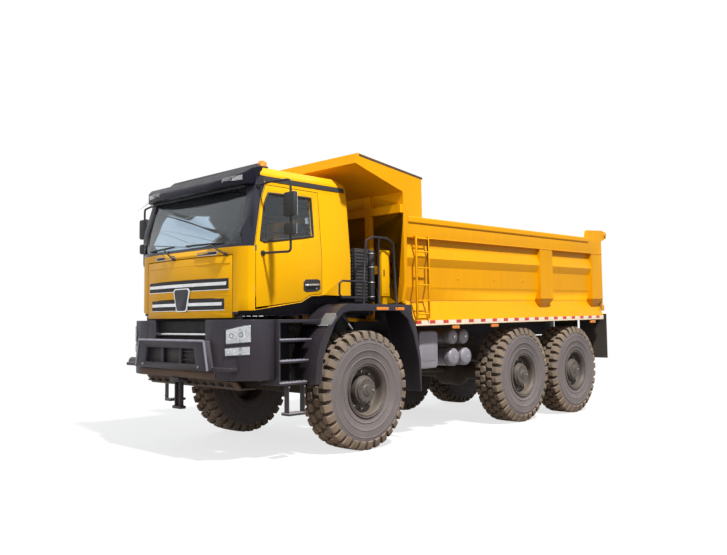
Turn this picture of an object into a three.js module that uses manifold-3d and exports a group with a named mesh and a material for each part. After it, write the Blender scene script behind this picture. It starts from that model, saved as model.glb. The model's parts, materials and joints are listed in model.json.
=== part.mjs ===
// Rigid six-wheel mining dump truck, built as an assembly in millimetres, +Z up.
// The front looks along -Y, and +X is the truck's left. Inside the truck's own group,
// y is counted backwards from the front axle and z upwards from the ground.
import * as THREE from 'three';
import { mergeVertices } from 'three/addons/utils/BufferGeometryUtils.js';
import Module from 'manifold-3d';

const wasm = await Module();
wasm.setup();

// ---------------------------------------------------------------- driving dimensions
const FRONT_END = -1960;            // front face of the bumper's raised plate
const REAR_END = 6375;              // tip of the bed's rear ears
const WIDEST = 1700;                // outer edge of the mirrors
const GAP = 0.3;                    // between pieces that touch
const DOOR_GAP = 6;                 // round doors and lids

const AXLE_Y = { front: 0, mid: 3550, rear: 5200 };
const AXLE_Z = 747.5;
const WHEEL_X = 1215;               // middle of the tread
const TYRE_SIDES = 24;
const TYRE_R = AXLE_Z / Math.cos(Math.PI / TYRE_SIDES);
const TYRE_HALF = 220;
const KINGPIN_X = 1095;

const RAIL_IN = 380;
const RAIL_OUT = 470;
const RAIL_LOW = 1000;
const RAIL_TOP = 1320;
const RAIL_FRONT = -1640;
const RAIL_REAR = 5850;

const HINGE = { y: 5960, z: 1190 };       // the bed tips about this shaft
const TRUNNION = { y: 450, z: 1750 };     // the hoist tube swings in the bed's front
const HOIST_FOOT = { y: 450, z: 1110 };   // where the hoist's lowest eye stands

const BED_SLOPE = THREE.MathUtils.degToRad(0.8);   // the bed rises a little to the rear
const BED_DATUM = { y: 848, z: 1546 };             // the slope turns about this point
const BED_FRONT = 675;
const BED_REAR = 6180;
const BED_HALF = 1470;
const FLOOR_LOW = 1720;
const FLOOR_TOP = 1800;
const BED_RAIL_TOP = 3010;
const TAILGATE_PIVOT = { y: 6210, z: 3100 };       // in the bed's own slope

const CAB_HALF = 1200;
const CAB_BACK = -69;
const CAB_WALL = 60;
const CAB_FLOOR = 1700;
const GLASS_DEPTH = 14;

const BUMPER_LOW = 955;
const BUMPER_TOP = 1640;

const FENDER_IN = 1010;
const FENDER_OUT = 1480;

// ---------------------------------------------------------------- finishes
const finish = (color, roughness, metalness) =>
  new THREE.MeshStandardMaterial({ color, roughness, metalness });
const yellow = finish(0xf0b010, 0.4, 0.1);
const charcoal = finish(0x3a3842, 0.5, 0.1);
const steel = finish(0x4a4a4e, 0.6, 0.6);
const castIron = finish(0x2c2a2c, 0.8, 0.4);
const rubber = finish(0x4c4642, 0.9, 0);
const rimPaint = finish(0x3c3a3c, 0.55, 0.4);
const glass = finish(0x6b7c8a, 0.1, 0);
const blackPlastic = finish(0x1a1a1c, 0.6, 0);
const cloth = finish(0x3a3a40, 0.9, 0);
const paleGrey = finish(0xa0a3ab, 0.5, 0.2);
const chrome = finish(0xc8ccd0, 0.2, 1);

// ---------------------------------------------------------------- solids
// A closed geometry as a manifold-3d solid, turned the right way out.
function solidOf(geometry) {
  const bare = geometry.clone();
  bare.deleteAttribute('normal');
  bare.deleteAttribute('uv');
  const merged = mergeVertices(bare, 1e-3);
  const position = merged.attributes.position;
  const corners = Array.from(merged.index.array);
  const kept = [];
  let volume = 0;
  const [a, b, c] = [new THREE.Vector3(), new THREE.Vector3(), new THREE.Vector3()];
  for (let i = 0; i < corners.length; i += 3) {
    const [p, q, r] = corners.slice(i, i + 3);
    if (p === q || q === r || r === p) continue;
    a.fromBufferAttribute(position, p);
    b.fromBufferAttribute(position, q);
    c.fromBufferAttribute(position, r);
    volume += a.dot(b.clone().cross(c));
    kept.push(p, q, r);
  }
  if (volume < 0) {
    for (let i = 0; i < kept.length; i += 3) [kept[i], kept[i + 1]] = [kept[i + 1], kept[i]];
  }
  return new wasm.Manifold(new wasm.Mesh({
    numProp: 3,
    vertProperties: new Float32Array(position.array),
    triVerts: new Uint32Array(kept),
  }));
}

function geometryOf(solid) {
  const mesh = solid.getMesh();
  const geometry = new THREE.BufferGeometry();
  geometry.setAttribute('position', new THREE.BufferAttribute(new Float32Array(mesh.vertProperties), 3));
  geometry.setIndex(new THREE.BufferAttribute(new Uint32Array(mesh.triVerts), 1));
  return geometry;
}

const clean = (geometry) => geometryOf(solidOf(geometry));
const join = (...pieces) => geometryOf(pieces.map(solidOf).reduce((sum, piece) => sum.add(piece)));
const cut = (body, ...tools) =>
  geometryOf(tools.map(solidOf).reduce((rest, tool) => rest.subtract(tool), solidOf(body)));
const common = (...pieces) => geometryOf(pieces.map(solidOf).reduce((sum, piece) => sum.intersect(piece)));

function box(x0, x1, y0, y1, z0, z1) {
  const geometry = new THREE.BoxGeometry(x1 - x0, y1 - y0, z1 - z0);
  return geometry.translate((x0 + x1) / 2, (y0 + y1) / 2, (z0 + z1) / 2);
}

const shapeOf = (points) => new THREE.Shape(points.map(([u, v]) => new THREE.Vector2(u, v)));

function extrude(points, depth, basis) {
  const geometry = new THREE.ExtrudeGeometry(shapeOf(points), { depth, bevelEnabled: false, curveSegments: 1 });
  return geometry.applyMatrix4(basis);
}

const [X, Y, Z] = [new THREE.Vector3(1, 0, 0), new THREE.Vector3(0, 1, 0), new THREE.Vector3(0, 0, 1)];
const sideBasis = new THREE.Matrix4().makeBasis(Y, Z, X);
const frontBasis = new THREE.Matrix4().makeBasis(X, Z, Y.clone().negate());
const planBasis = new THREE.Matrix4().makeBasis(X, Y, Z);
// an outline of [y, z] points carried from x0 to x1
const acrossX = (points, x0, x1) => extrude(points, x1 - x0, sideBasis).translate(x0, 0, 0);
// an outline of [x, z] points carried from y0 to y1
const alongY = (points, y0, y1) => extrude(points, y1 - y0, frontBasis).translate(0, y1, 0);
// an outline of [x, y] points carried from z0 to z1
const upZ = (points, z0, z1) => extrude(points, z1 - z0, planBasis).translate(0, 0, z0);

// a ring or disc turned about an axis along X, from [x, radius] points
function turnedX(profile, sides, turn = 0) {
  const points = profile.map(([along, radius]) => new THREE.Vector2(radius, along));
  const geometry = new THREE.LatheGeometry(points, sides);
  return geometry.rotateY(turn).rotateZ(-Math.PI / 2);
}

function rod(from, to, radius, sides = 12) {
  const [a, b] = [new THREE.Vector3(...from), new THREE.Vector3(...to)];
  const along = b.clone().sub(a);
  const geometry = new THREE.CylinderGeometry(radius, radius, along.length(), sides);
  geometry.applyQuaternion(new THREE.Quaternion().setFromUnitVectors(Y, along.clone().normalize()));
  return geometry.translate(...a.add(b).multiplyScalar(0.5).toArray());
}

// a bent tube: straight runs between corners, each corner rounded by the given radius
function bentTube(corners, radius, bend, sides = 6) {
  const path = new THREE.CurvePath();
  const points = corners.map((corner) => new THREE.Vector3(...corner));
  let start = points[0];
  for (let i = 1; i < points.length - 1; i += 1) {
    const inward = points[i].clone().sub(points[i - 1]).normalize();
    const outward = points[i + 1].clone().sub(points[i]).normalize();
    const before = points[i].clone().addScaledVector(inward, -bend);
    const after = points[i].clone().addScaledVector(outward, bend);
    path.add(new THREE.LineCurve3(start, before));
    path.add(new THREE.QuadraticBezierCurve3(before, points[i], after));
    start = after;
  }
  path.add(new THREE.LineCurve3(start, points[points.length - 1]));
  const section = new THREE.Shape();
  section.absarc(0, 0, radius, 0, 2 * Math.PI, false);
  const steps = 4 * corners.length;
  return new THREE.ExtrudeGeometry(section, { steps, curveSegments: sides / 2, extrudePath: path });
}

const mirrored = (points) => points.map(([u, v]) => [-u, v]).reverse();
const bothSides = (points) => [...points, ...mirrored(points)];

function piece(parent, name, geometry, material) {
  const mesh = new THREE.Mesh(clean(geometry), material);
  mesh.name = name;
  parent.add(mesh);
  return mesh;
}

// the same piece on the truck's left (+X) and right
function pair(leftParent, rightParent, name, geometry, material) {
  piece(leftParent, `${name}_left`, geometry, material);
  piece(rightParent, `${name}_right`, geometry.clone().scale(-1, 1, 1), material);
}

const truck = new THREE.Group();

// ---------------------------------------------------------------- chassis
function chassisFrame() {
  const rail = (x0, x1) => box(x0, x1, RAIL_FRONT + GAP, RAIL_REAR, RAIL_LOW, RAIL_TOP);
  const member = (y0, y1, z0, z1) => box(-RAIL_IN - 5, RAIL_IN + 5, y0, y1, z0, z1);
  return join(
    rail(-RAIL_OUT, -RAIL_IN),
    rail(RAIL_IN, RAIL_OUT),
    member(RAIL_FRONT + GAP, -1540, RAIL_LOW, RAIL_TOP),
    member(1700, 1760, RAIL_LOW + 20, RAIL_TOP - 20),
    member(2950, 3010, RAIL_LOW + 20, RAIL_TOP - 20),
    member(4330, 4420, RAIL_LOW + 20, RAIL_TOP - 20),
    member(RAIL_REAR - 80, RAIL_REAR, RAIL_LOW, RAIL_TOP - 20),
  );
}

// the cross member between the rails that the hoist stands on, with its two pin lugs
function hoistMount() {
  const [front, rear, inside] = [HOIST_FOOT.y - 100, HOIST_FOOT.y + 100, RAIL_IN - GAP];
  const lug = (x0, x1) => box(x0, x1, front + 30, rear - 30, RAIL_LOW + 20, HOIST_FOOT.z + 30);
  return join(
    box(-inside, inside, front, rear, RAIL_LOW, RAIL_LOW + 40),
    lug(-92, -62),
    lug(62, 92),
  );
}

function bedPivot() {
  const plate = (x0, x1) => box(x0, x1, 5650, 6030, 1060, RAIL_TOP - 10);
  return join(
    plate(-520, -RAIL_OUT - GAP),
    plate(RAIL_OUT + GAP, 520),
    rod([-515, HINGE.y, HINGE.z], [515, HINGE.y, HINGE.z], 40, 20),
  );
}

function gearbox() {
  return join(
    box(-230, 230, -150, 300, 830, 1270),
    rod([0, 290, 900], [0, 3300, 790], 50, 12),
  );
}

function frontAxle() {
  const leaves = acrossX([
    [-800, 940], [-400, 830], [-150, 740], [150, 740], [400, 830], [800, 940],
    [800, RAIL_LOW - GAP], [740, RAIL_LOW - GAP], [720, 985], [400, 880], [150, 830],
    [-150, 830], [-400, 880], [-720, 985], [-740, RAIL_LOW - GAP], [-800, RAIL_LOW - GAP],
  ], 390, 460);
  const boss = (side) => rod([side * KINGPIN_X, 0, 677], [side * KINGPIN_X, 0, 817], 55, 16);
  const boreless = join(
    box(-1028, 1028, -65, 65, 640, 760),
    box(-1060, 1060, -48, 48, 682, 812),
    leaves,
    leaves.clone().scale(-1, 1, 1),
    boss(1),
    boss(-1),
  );
  const bore = rod([KINGPIN_X, 0, 600], [KINGPIN_X, 0, 900], 26, 16);
  return cut(boreless, bore, bore.clone().scale(-1, 1, 1));
}

function driveAxle(y) {
  return turnedX([
    [-1265, 0], [-1265, 108], [-320, 120], [-190, 230], [190, 230], [320, 120], [1265, 108], [1265, 0],
  ], 20).translate(0, y, AXLE_Z);
}

function bogieSprings() {
  const middle = (AXLE_Y.mid + AXLE_Y.rear) / 2;
  const outline = [
    [-900, 868], [-760, 868], [-300, 900], [300, 900], [760, 868], [900, 868],
    [900, 900], [300, 1040], [-300, 1040], [-900, 900],
  ];
  const leaves = acrossX(outline.map(([y, z]) => [y + middle, z]), 500, 580);
  return join(
    leaves,
    leaves.clone().scale(-1, 1, 1),
    rod([-600, middle, 930], [600, middle, 930], 60, 14),
  );
}

// ---------------------------------------------------------------- wheels and knuckles
function tyre() {
  return turnedX([
    [-196, 321], [196, 321], [196, 354], [TYRE_HALF, 450], [TYRE_HALF, 620], [180, TYRE_R - 24],
    [150, TYRE_R], [-150, TYRE_R], [-180, TYRE_R - 24], [-TYRE_HALF, 620], [-TYRE_HALF, 450],
    [-196, 354], [-196, 321],
  ], TYRE_SIDES, Math.PI / TYRE_SIDES);
}

function rim() {
  return turnedX([
    [205, 0], [195, 150], [160, 175], [58, 195], [78, 286], [190, 286], [212, 345],
    [196 + GAP, 345], [196 + GAP, 316], [-196 - GAP, 316], [-196 - GAP, 345], [-212, 345],
    [-190, 286], [36, 286], [20, 165], [-25, 165], [-25, 125], [62, 125], [62, 0],
  ], 18);
}

function knuckle() {
  const arm = (z0, z1) => join(
    rod([KINGPIN_X, 0, z0], [KINGPIN_X, 0, z1], 60, 16),
    box(KINGPIN_X, KINGPIN_X + 90, -60, 60, z0, z1),
  );
  return join(
    arm(823, 880),
    arm(612, 671),
    box(KINGPIN_X + 62, KINGPIN_X + 90, -60, 60, 612, 880),
    rod([KINGPIN_X, 0, 620], [KINGPIN_X, 0, 875], 25, 16),
    rod([KINGPIN_X + 80, 0, AXLE_Z], [1265, 0, AXLE_Z], 60, 16),
  );
}

function wheel(parent, name, side, y) {
  const group = new THREE.Group();
  group.position.set(side * WHEEL_X, y, AXLE_Z);
  parent.add(group);
  piece(group, `tyre_${name}`, tyre(), rubber);
  piece(group, `rim_${name}`, rim().scale(side, 1, 1), rimPaint);
}

// ---------------------------------------------------------------- bumper, steps and fenders
const bumperEdge = [
  [1275, -1365], [1275, -1560], [1245, -1665], [1150, -1760], [1000, -1835], [820, -1870],
];

function bumper() {
  const shell = upZ([
    ...bumperEdge, ...mirrored(bumperEdge),
    [-1195, -1365], [-1195, -1540], [-1090, RAIL_FRONT], [1090, RAIL_FRONT], [1195, -1540], [1195, -1365],
  ], BUMPER_LOW, BUMPER_TOP);
  const recess = box(-620, 620, -1900, -1790, 1400, 1660);
  const plate = alongY(
    bothSides([[800, 1060], [720, 1400]]),
    FRONT_END, -1790,
  );
  const window = alongY(bothSides([[560, 1130], [520, 1310]]), FRONT_END - 10, -1890);
  const foot = box(-1150, 1150, -1900, -1780, 1060, 1100);
  return cut(join(cut(shell, recess), plate, foot), window);
}

function towBracket() {
  return join(
    box(-95, 95, -1890, -1760, 900, BUMPER_LOW - GAP),
    box(-60, -35, -1850, -1790, 600, 910),
    box(35, 60, -1850, -1790, 600, 910),
    box(-95, 95, -1860, -1780, 575, 610),
  );
}

// a short rubber-ended bar standing out past the bumper's right end
function sideBar() {
  const [y, z, radius] = [-1480, 1075, 45];
  return join(
    rod([-1275 - GAP, y, z], [radius - WIDEST, y, z], radius, 12),
    new THREE.SphereGeometry(radius, 12, 6).rotateZ(Math.PI / 2).translate(radius - WIDEST, y, z),
  );
}

function steps() {
  const tread = (y1, top) => box(1020, 1350, -1350, y1, top - 35, top);
  return join(
    box(1000, 1025, -1350, -945, 885, 1620),
    box(1000, 1340, -1360, -1335, 885, 1640),
    box(1000, 1350, -1350, -715, 1600, 1640),
    tread(-870, 1414),
    tread(-920, 1171),
    tread(-945, 920),
    box(1255, 1335, -1213, -1201, 545, 900),
    box(1255, 1335, -977, -965, 545, 900),
    box(1200, 1340, -1213, -965, 530, 560),
    box(RAIL_OUT + GAP, 1010, -1300, -1220, 1100, 1180),
  );
}

const archOuter = [
  [-928, 880], [-901, 1156], [-841, 1353], [-684, 1623], [-521, 1780], [-404, 1828],
  [784, 1828], [816, 1659], [888, 1499], [973, 1097], [985, 671],
];
const archInner = [
  [965, 671], [931, 1098], [827, 1433], [725, 1631], [565, 1745], [-352, 1741], [-470, 1715],
  [-602, 1599], [-745, 1328], [-806, 1153], [-832, 880],
];

function fender() {
  const sheetInner = archOuter.slice(0, 9).map(([y, z]) => {
    const reach = Math.hypot(y, z - AXLE_Z);
    const scale = (reach - 26) / reach;
    return [y * scale, AXLE_Z + (z - AXLE_Z) * scale];
  });
  sheetInner.push([945, 1097], [965, 671]);
  const sheet = acrossX([...archOuter, ...sheetInner.reverse()], FENDER_IN, FENDER_OUT);
  const lip = acrossX([...archOuter, ...archInner], FENDER_OUT - 25, FENDER_OUT);
  const stay = box(400, FENDER_IN + 10, 450, 510, 1690, 1750);
  const post = box(400, 460, 450, 510, RAIL_TOP + GAP, 1750);
  const bracket = box(FENDER_IN, FENDER_IN + 15, 440, 520, 1690, 1815);
  const rail = bentTube([
    [1400, -45, 1815], [1400, 5, 2690], [1400, 520, 2690], [1400, 575, 1815],
  ], 17, 110);
  const upright = rod([1400, 240, 1815], [1400, 240, 2690], 14, 8);
  const grab = bentTube([
    [1400, -20, 2110], [1400, -460, 2110], [1400, -460, 1905], [1400, -30, 1905],
  ], 14, 50);
  return join(sheet, lip, stay, post, bracket, rail, upright, grab);
}

// ---------------------------------------------------------------- cab
// The cab's outer skin moved inwards by the given depth, as one solid.
function cabSolid(inset) {
  const plan = bothSides([
    [CAB_HALF - inset, CAB_BACK - inset], [CAB_HALF - inset, -1595 + inset], [1155 - inset, -1650 + inset],
    [1060 - inset, -1695 + inset], [900, -1722 + inset], [600, -1752 + inset], [300, -1776 + inset],
  ]);
  const side = [
    [CAB_BACK - inset, CAB_FLOOR + inset], [CAB_BACK - inset, 3330 - inset], [-130, 3410 - inset],
    [-260, 3465 - inset], [-1180, 3465 - inset], [-1400, 3420 - inset], [-1490 + inset, 3330 - inset],
    [-1545 + inset, 3200], [-1735 + inset, 2500], [-1800 + inset, 2380], [-1800 + inset, CAB_FLOOR + inset],
  ];
  const front = bothSides([
    [CAB_HALF - inset, CAB_FLOOR - 10], [CAB_HALF - inset, 2400], [1178 - inset, 2610],
    [1125 - inset, 3190], [1095 - inset, 3350], [1010, 3440 - inset], [800, 3465 - inset],
  ]);
  return common(
    upZ(plan, CAB_FLOOR - 20, 3600),
    acrossX(side, -1300, 1300),
    alongY(front, -2000, 100),
  );
}

const doorOutline = [
  [-560, 1945], [-560, 3215], [-1380, 3215], [-1450, 3060], [-1585, 2480], [-1585, 1760],
  [-900, 1850], [-740, 1930],
];
const doorWindow = [
  [-700, 2660], [-700, 3120], [-1340, 3105], [-1400, 2980], [-1490, 2560], [-1440, 2545],
];
const windscreenOutline = bothSides([[1075, 2520], [1010, 3195]]);

// an outline shrunk towards its middle by about the given gap
function shrunk(points, gap) {
  const middle = points.reduce(([u, v], [p, q]) => [u + p / points.length, v + q / points.length], [0, 0]);
  return points.map(([u, v]) => {
    const [du, dv] = [u - middle[0], v - middle[1]];
    const [width, height] = [Math.abs(du), Math.abs(dv)];
    return [
      middle[0] + Math.sign(du) * Math.max(0, width - gap),
      middle[1] + Math.sign(dv) * Math.max(0, height - gap),
    ];
  });
}

function cabShell() {
  const hollow = cut(cabSolid(0), cabSolid(CAB_WALL));
  const sillLine = [[-1700, 1740], [-1591, 1742], [-884, 1838], [-725, 1912], [-511, 1937], [100, 1922]];
  const sill = (x0, x1) => acrossX([...sillLine, [100, 1600], [-1700, 1600]], x0, x1);
  const raised = sillLine.map(([y, z]) => [y, z + 50]).reverse();
  const arch = (x0, x1) => acrossX([...sillLine, ...raised], x0, x1);
  const riser = (x0, x1) => acrossX([[100, CAB_FLOOR], ...raised, [-1700, CAB_FLOOR]], x0, x1);
  const floor = common(cabSolid(0), join(
    arch(980, 1300), arch(-1300, -980), riser(940, 1000), riser(-1000, -940),
    box(-990, 990, -1700, 0, CAB_FLOOR, CAB_FLOOR + 50),
    box(-1150, 1150, -1660, -1610, CAB_FLOOR, 2450),
    box(-1150, 1150, -1790, -1610, 2392, 2450),
  ));
  const doorway = (x0, x1) => acrossX(doorOutline, x0, x1);
  const screen = alongY(windscreenOutline, -1900, -1300);
  const rearWindow = box(-520, 520, -300, 0, 2560, 3020);
  const flapSpace = box(-940, 940, -1900, -1665, 1600, 2392);
  return cut(
    join(hollow, floor),
    sill(1000, 1300), sill(-1300, -1000),
    doorway(1001, 1300), doorway(-1300, -1001),
    screen, rearWindow, flapSpace,
  );
}

function skin(from, to) {
  return cut(cabSolid(from), cabSolid(to));
}

function windscreen() {
  const opening = alongY(shrunk(windscreenOutline, 1), -1900, -1300);
  return common(skin(GLASS_DEPTH, 2 * GLASS_DEPTH), opening);
}

function rearGlass() {
  return box(-519, 519, CAB_BACK - 40, CAB_BACK - 28, 2561, 3019);
}

function door() {
  // the front foot is cut higher, so that it clears the rising sill as the door swings
  const edge = shrunk(doorOutline, DOOR_GAP).map(([y, z]) => [y, y < -1500 && z < 2000 ? z + 10 : z]);
  const slab = common(skin(0, CAB_WALL), acrossX(edge, 1000, 1300));
  return cut(slab, acrossX(doorWindow, 1000, 1300));
}

function doorGlass() {
  return common(skin(GLASS_DEPTH, 2 * GLASS_DEPTH), acrossX(shrunk(doorWindow, 1), 1000, 1300));
}

function mirror() {
  const arm = (x, z) => rod([x, -1480, z], [1600, -1400, z + 20], 14, 6);
  return join(
    arm(1132, 3190),
    arm(1207, 2400),
    rod([1600, -1400, 2400], [1600, -1400, 3225], 14, 6),
    box(1500, WIDEST, -1440, -1370, 2790, 3070),
    box(1510, 1690, -1440, -1370, 2580, 2720),
  );
}

function grilleFlap() {
  const face = (depth) => [
    [930, -1715 + depth], [600, -1748 + depth], [300, -1772 + depth],
    [-300, -1772 + depth], [-600, -1748 + depth], [-930, -1715 + depth],
  ];
  const slab = upZ([...face(0), ...face(40).reverse()], 1662, 2384);
  const slot = (z0, z1) => alongY(bothSides([[790, z0], [840, z1]]), -1900, -1745);
  return cut(slab, slot(1990, 2125), slot(1755, 1895));
}

function roofVisor() {
  const plan = bothSides([
    [1150, -1440], [1150, -1560], [1080, -1640], [800, -1690], [400, -1715],
  ]);
  const side = [
    [-1478, 3338], [-1553, 3205], [-1735, 3205], [-1700, 3290], [-1560, 3400], [-1440, 3428], [-1401, 3424],
  ];
  return cut(
    common(upZ(plan, 3100, 3500), acrossX(side, -1200, 1200)),
    cabSolid(-GAP),
  );
}

function dashboard() {
  return join(
    acrossX(
      [[-1600, 2330], [-1600, 2460], [-1330, 2480], [-1240, 2400], [-1240, 2250], [-1330, 2150], [-1560, 2150]],
      -1040, 1040,
    ),
    box(-120, 120, -1600, -1300, CAB_FLOOR + CAB_WALL + GAP, 2200),
  );
}

function steeringWheel() {
  const tilt = new THREE.Matrix4().makeRotationX(THREE.MathUtils.degToRad(-35));
  const ring = new THREE.TorusGeometry(225, 17, 6, 16);
  const wheelSolid = join(
    ring,
    box(-225, 225, -18, 18, -12, 12),
    rod([0, 0, 15], [0, 0, -160], 35, 12),
  ).applyMatrix4(tilt);
  return wheelSolid.translate(560, -1120, 2560);
}

function seats() {
  const seat = (x) => join(
    box(x - 250, x + 250, -1000, -480, 2150, 2290),
    acrossX([[-560, 2200], [-440, 2200], [-330, 2900], [-420, 2900]], x - 240, x + 240),
    box(x - 190, x + 190, -900, -520, CAB_FLOOR + CAB_WALL + GAP, 2170),
  );
  const carrier = box(-700, 700, -860, -560, CAB_FLOOR + CAB_WALL + GAP, CAB_FLOOR + CAB_WALL + 30);
  return join(seat(560), seat(-560), carrier);
}

// ---------------------------------------------------------------- behind the cab and along the frame
function airCleaner() {
  return join(
    box(560, 1150, 60, 430, 1860, 2560),
    rod([1165, 340, 1890], [1165, 340, 2548], 50, 14),
    box(560, 700, 150, 350, RAIL_TOP + 20, 1870),
    box(RAIL_IN, 700, 150, 350, RAIL_TOP + GAP, RAIL_TOP + 60),
  );
}

function sideCabinet() {
  return join(
    box(1240, 1300, 410, 562, 1935, 2545),
    box(1255, 1285, 440, 530, 1828 + GAP, 1940),
  );
}

function fuelTank() {
  const section = [
    [1153, 990], [1193, 950], [1518, 950], [1558, 990], [1558, 1430], [1518, 1470], [1193, 1470], [1153, 1430],
  ];
  return join(
    acrossX(section, 700, 1300),
    box(RAIL_OUT + GAP, 710, 1250, 1450, 1120, 1240),
  );
}

function rightTank() {
  const section = [
    [1150, 1010], [1210, 950], [2340, 950], [2400, 1010], [2400, 1410], [2340, 1470], [1210, 1470], [1150, 1410],
  ];
  return join(
    acrossX(section, -1300, -700),
    box(-710, -RAIL_OUT - GAP, 1350, 1450, 1120, 1240),
    box(-710, -RAIL_OUT - GAP, 2100, 2200, 1120, 1240),
  );
}

function airTanks() {
  const tank = (y, z, radius) => rod([715, y, z], [1290, y, z], radius, 18);
  return join(
    box(700, 730, 1840, 2400, 940, 1480),
    box(RAIL_OUT + GAP, 710, 2050, 2150, 1120, 1240),
    tank(1949, 1378, 112),
    tank(2213, 1378, 112),
    tank(1968, 1082, 130),
    tank(2262, 1082, 130),
  );
}

// ---------------------------------------------------------------- tipping bed
const bed = new THREE.Group();
bed.position.set(0, BED_DATUM.y, BED_DATUM.z);
bed.rotation.x = BED_SLOPE;
truck.add(bed);
const bedInner = new THREE.Group();
bedInner.position.set(0, -BED_DATUM.y, -BED_DATUM.z);
bed.add(bedInner);

// a point of the level truck, in the bed's own slope
function inBed({ y, z }) {
  const point = new THREE.Vector3(0, y - BED_DATUM.y, z - BED_DATUM.z).applyAxisAngle(X, -BED_SLOPE);
  return { y: point.y + BED_DATUM.y, z: point.z + BED_DATUM.z };
}

const sideWall = [
  [1470, BED_RAIL_TOP - 25], [1470, 2727], [1410, 2727], [1410, 2605], [1462, 2460], [1410, 2343],
  [1410, 2065], [1345, 1877], [1470, 1615], [1470, 1540], [1440, 1540], [1440, 1600], [1290, FLOOR_LOW],
];
const wallInside = [
  [1230, FLOOR_TOP], [1370, 2070], [1370, 2960], [1345, BED_RAIL_TOP], [1445, BED_RAIL_TOP],
];

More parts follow.
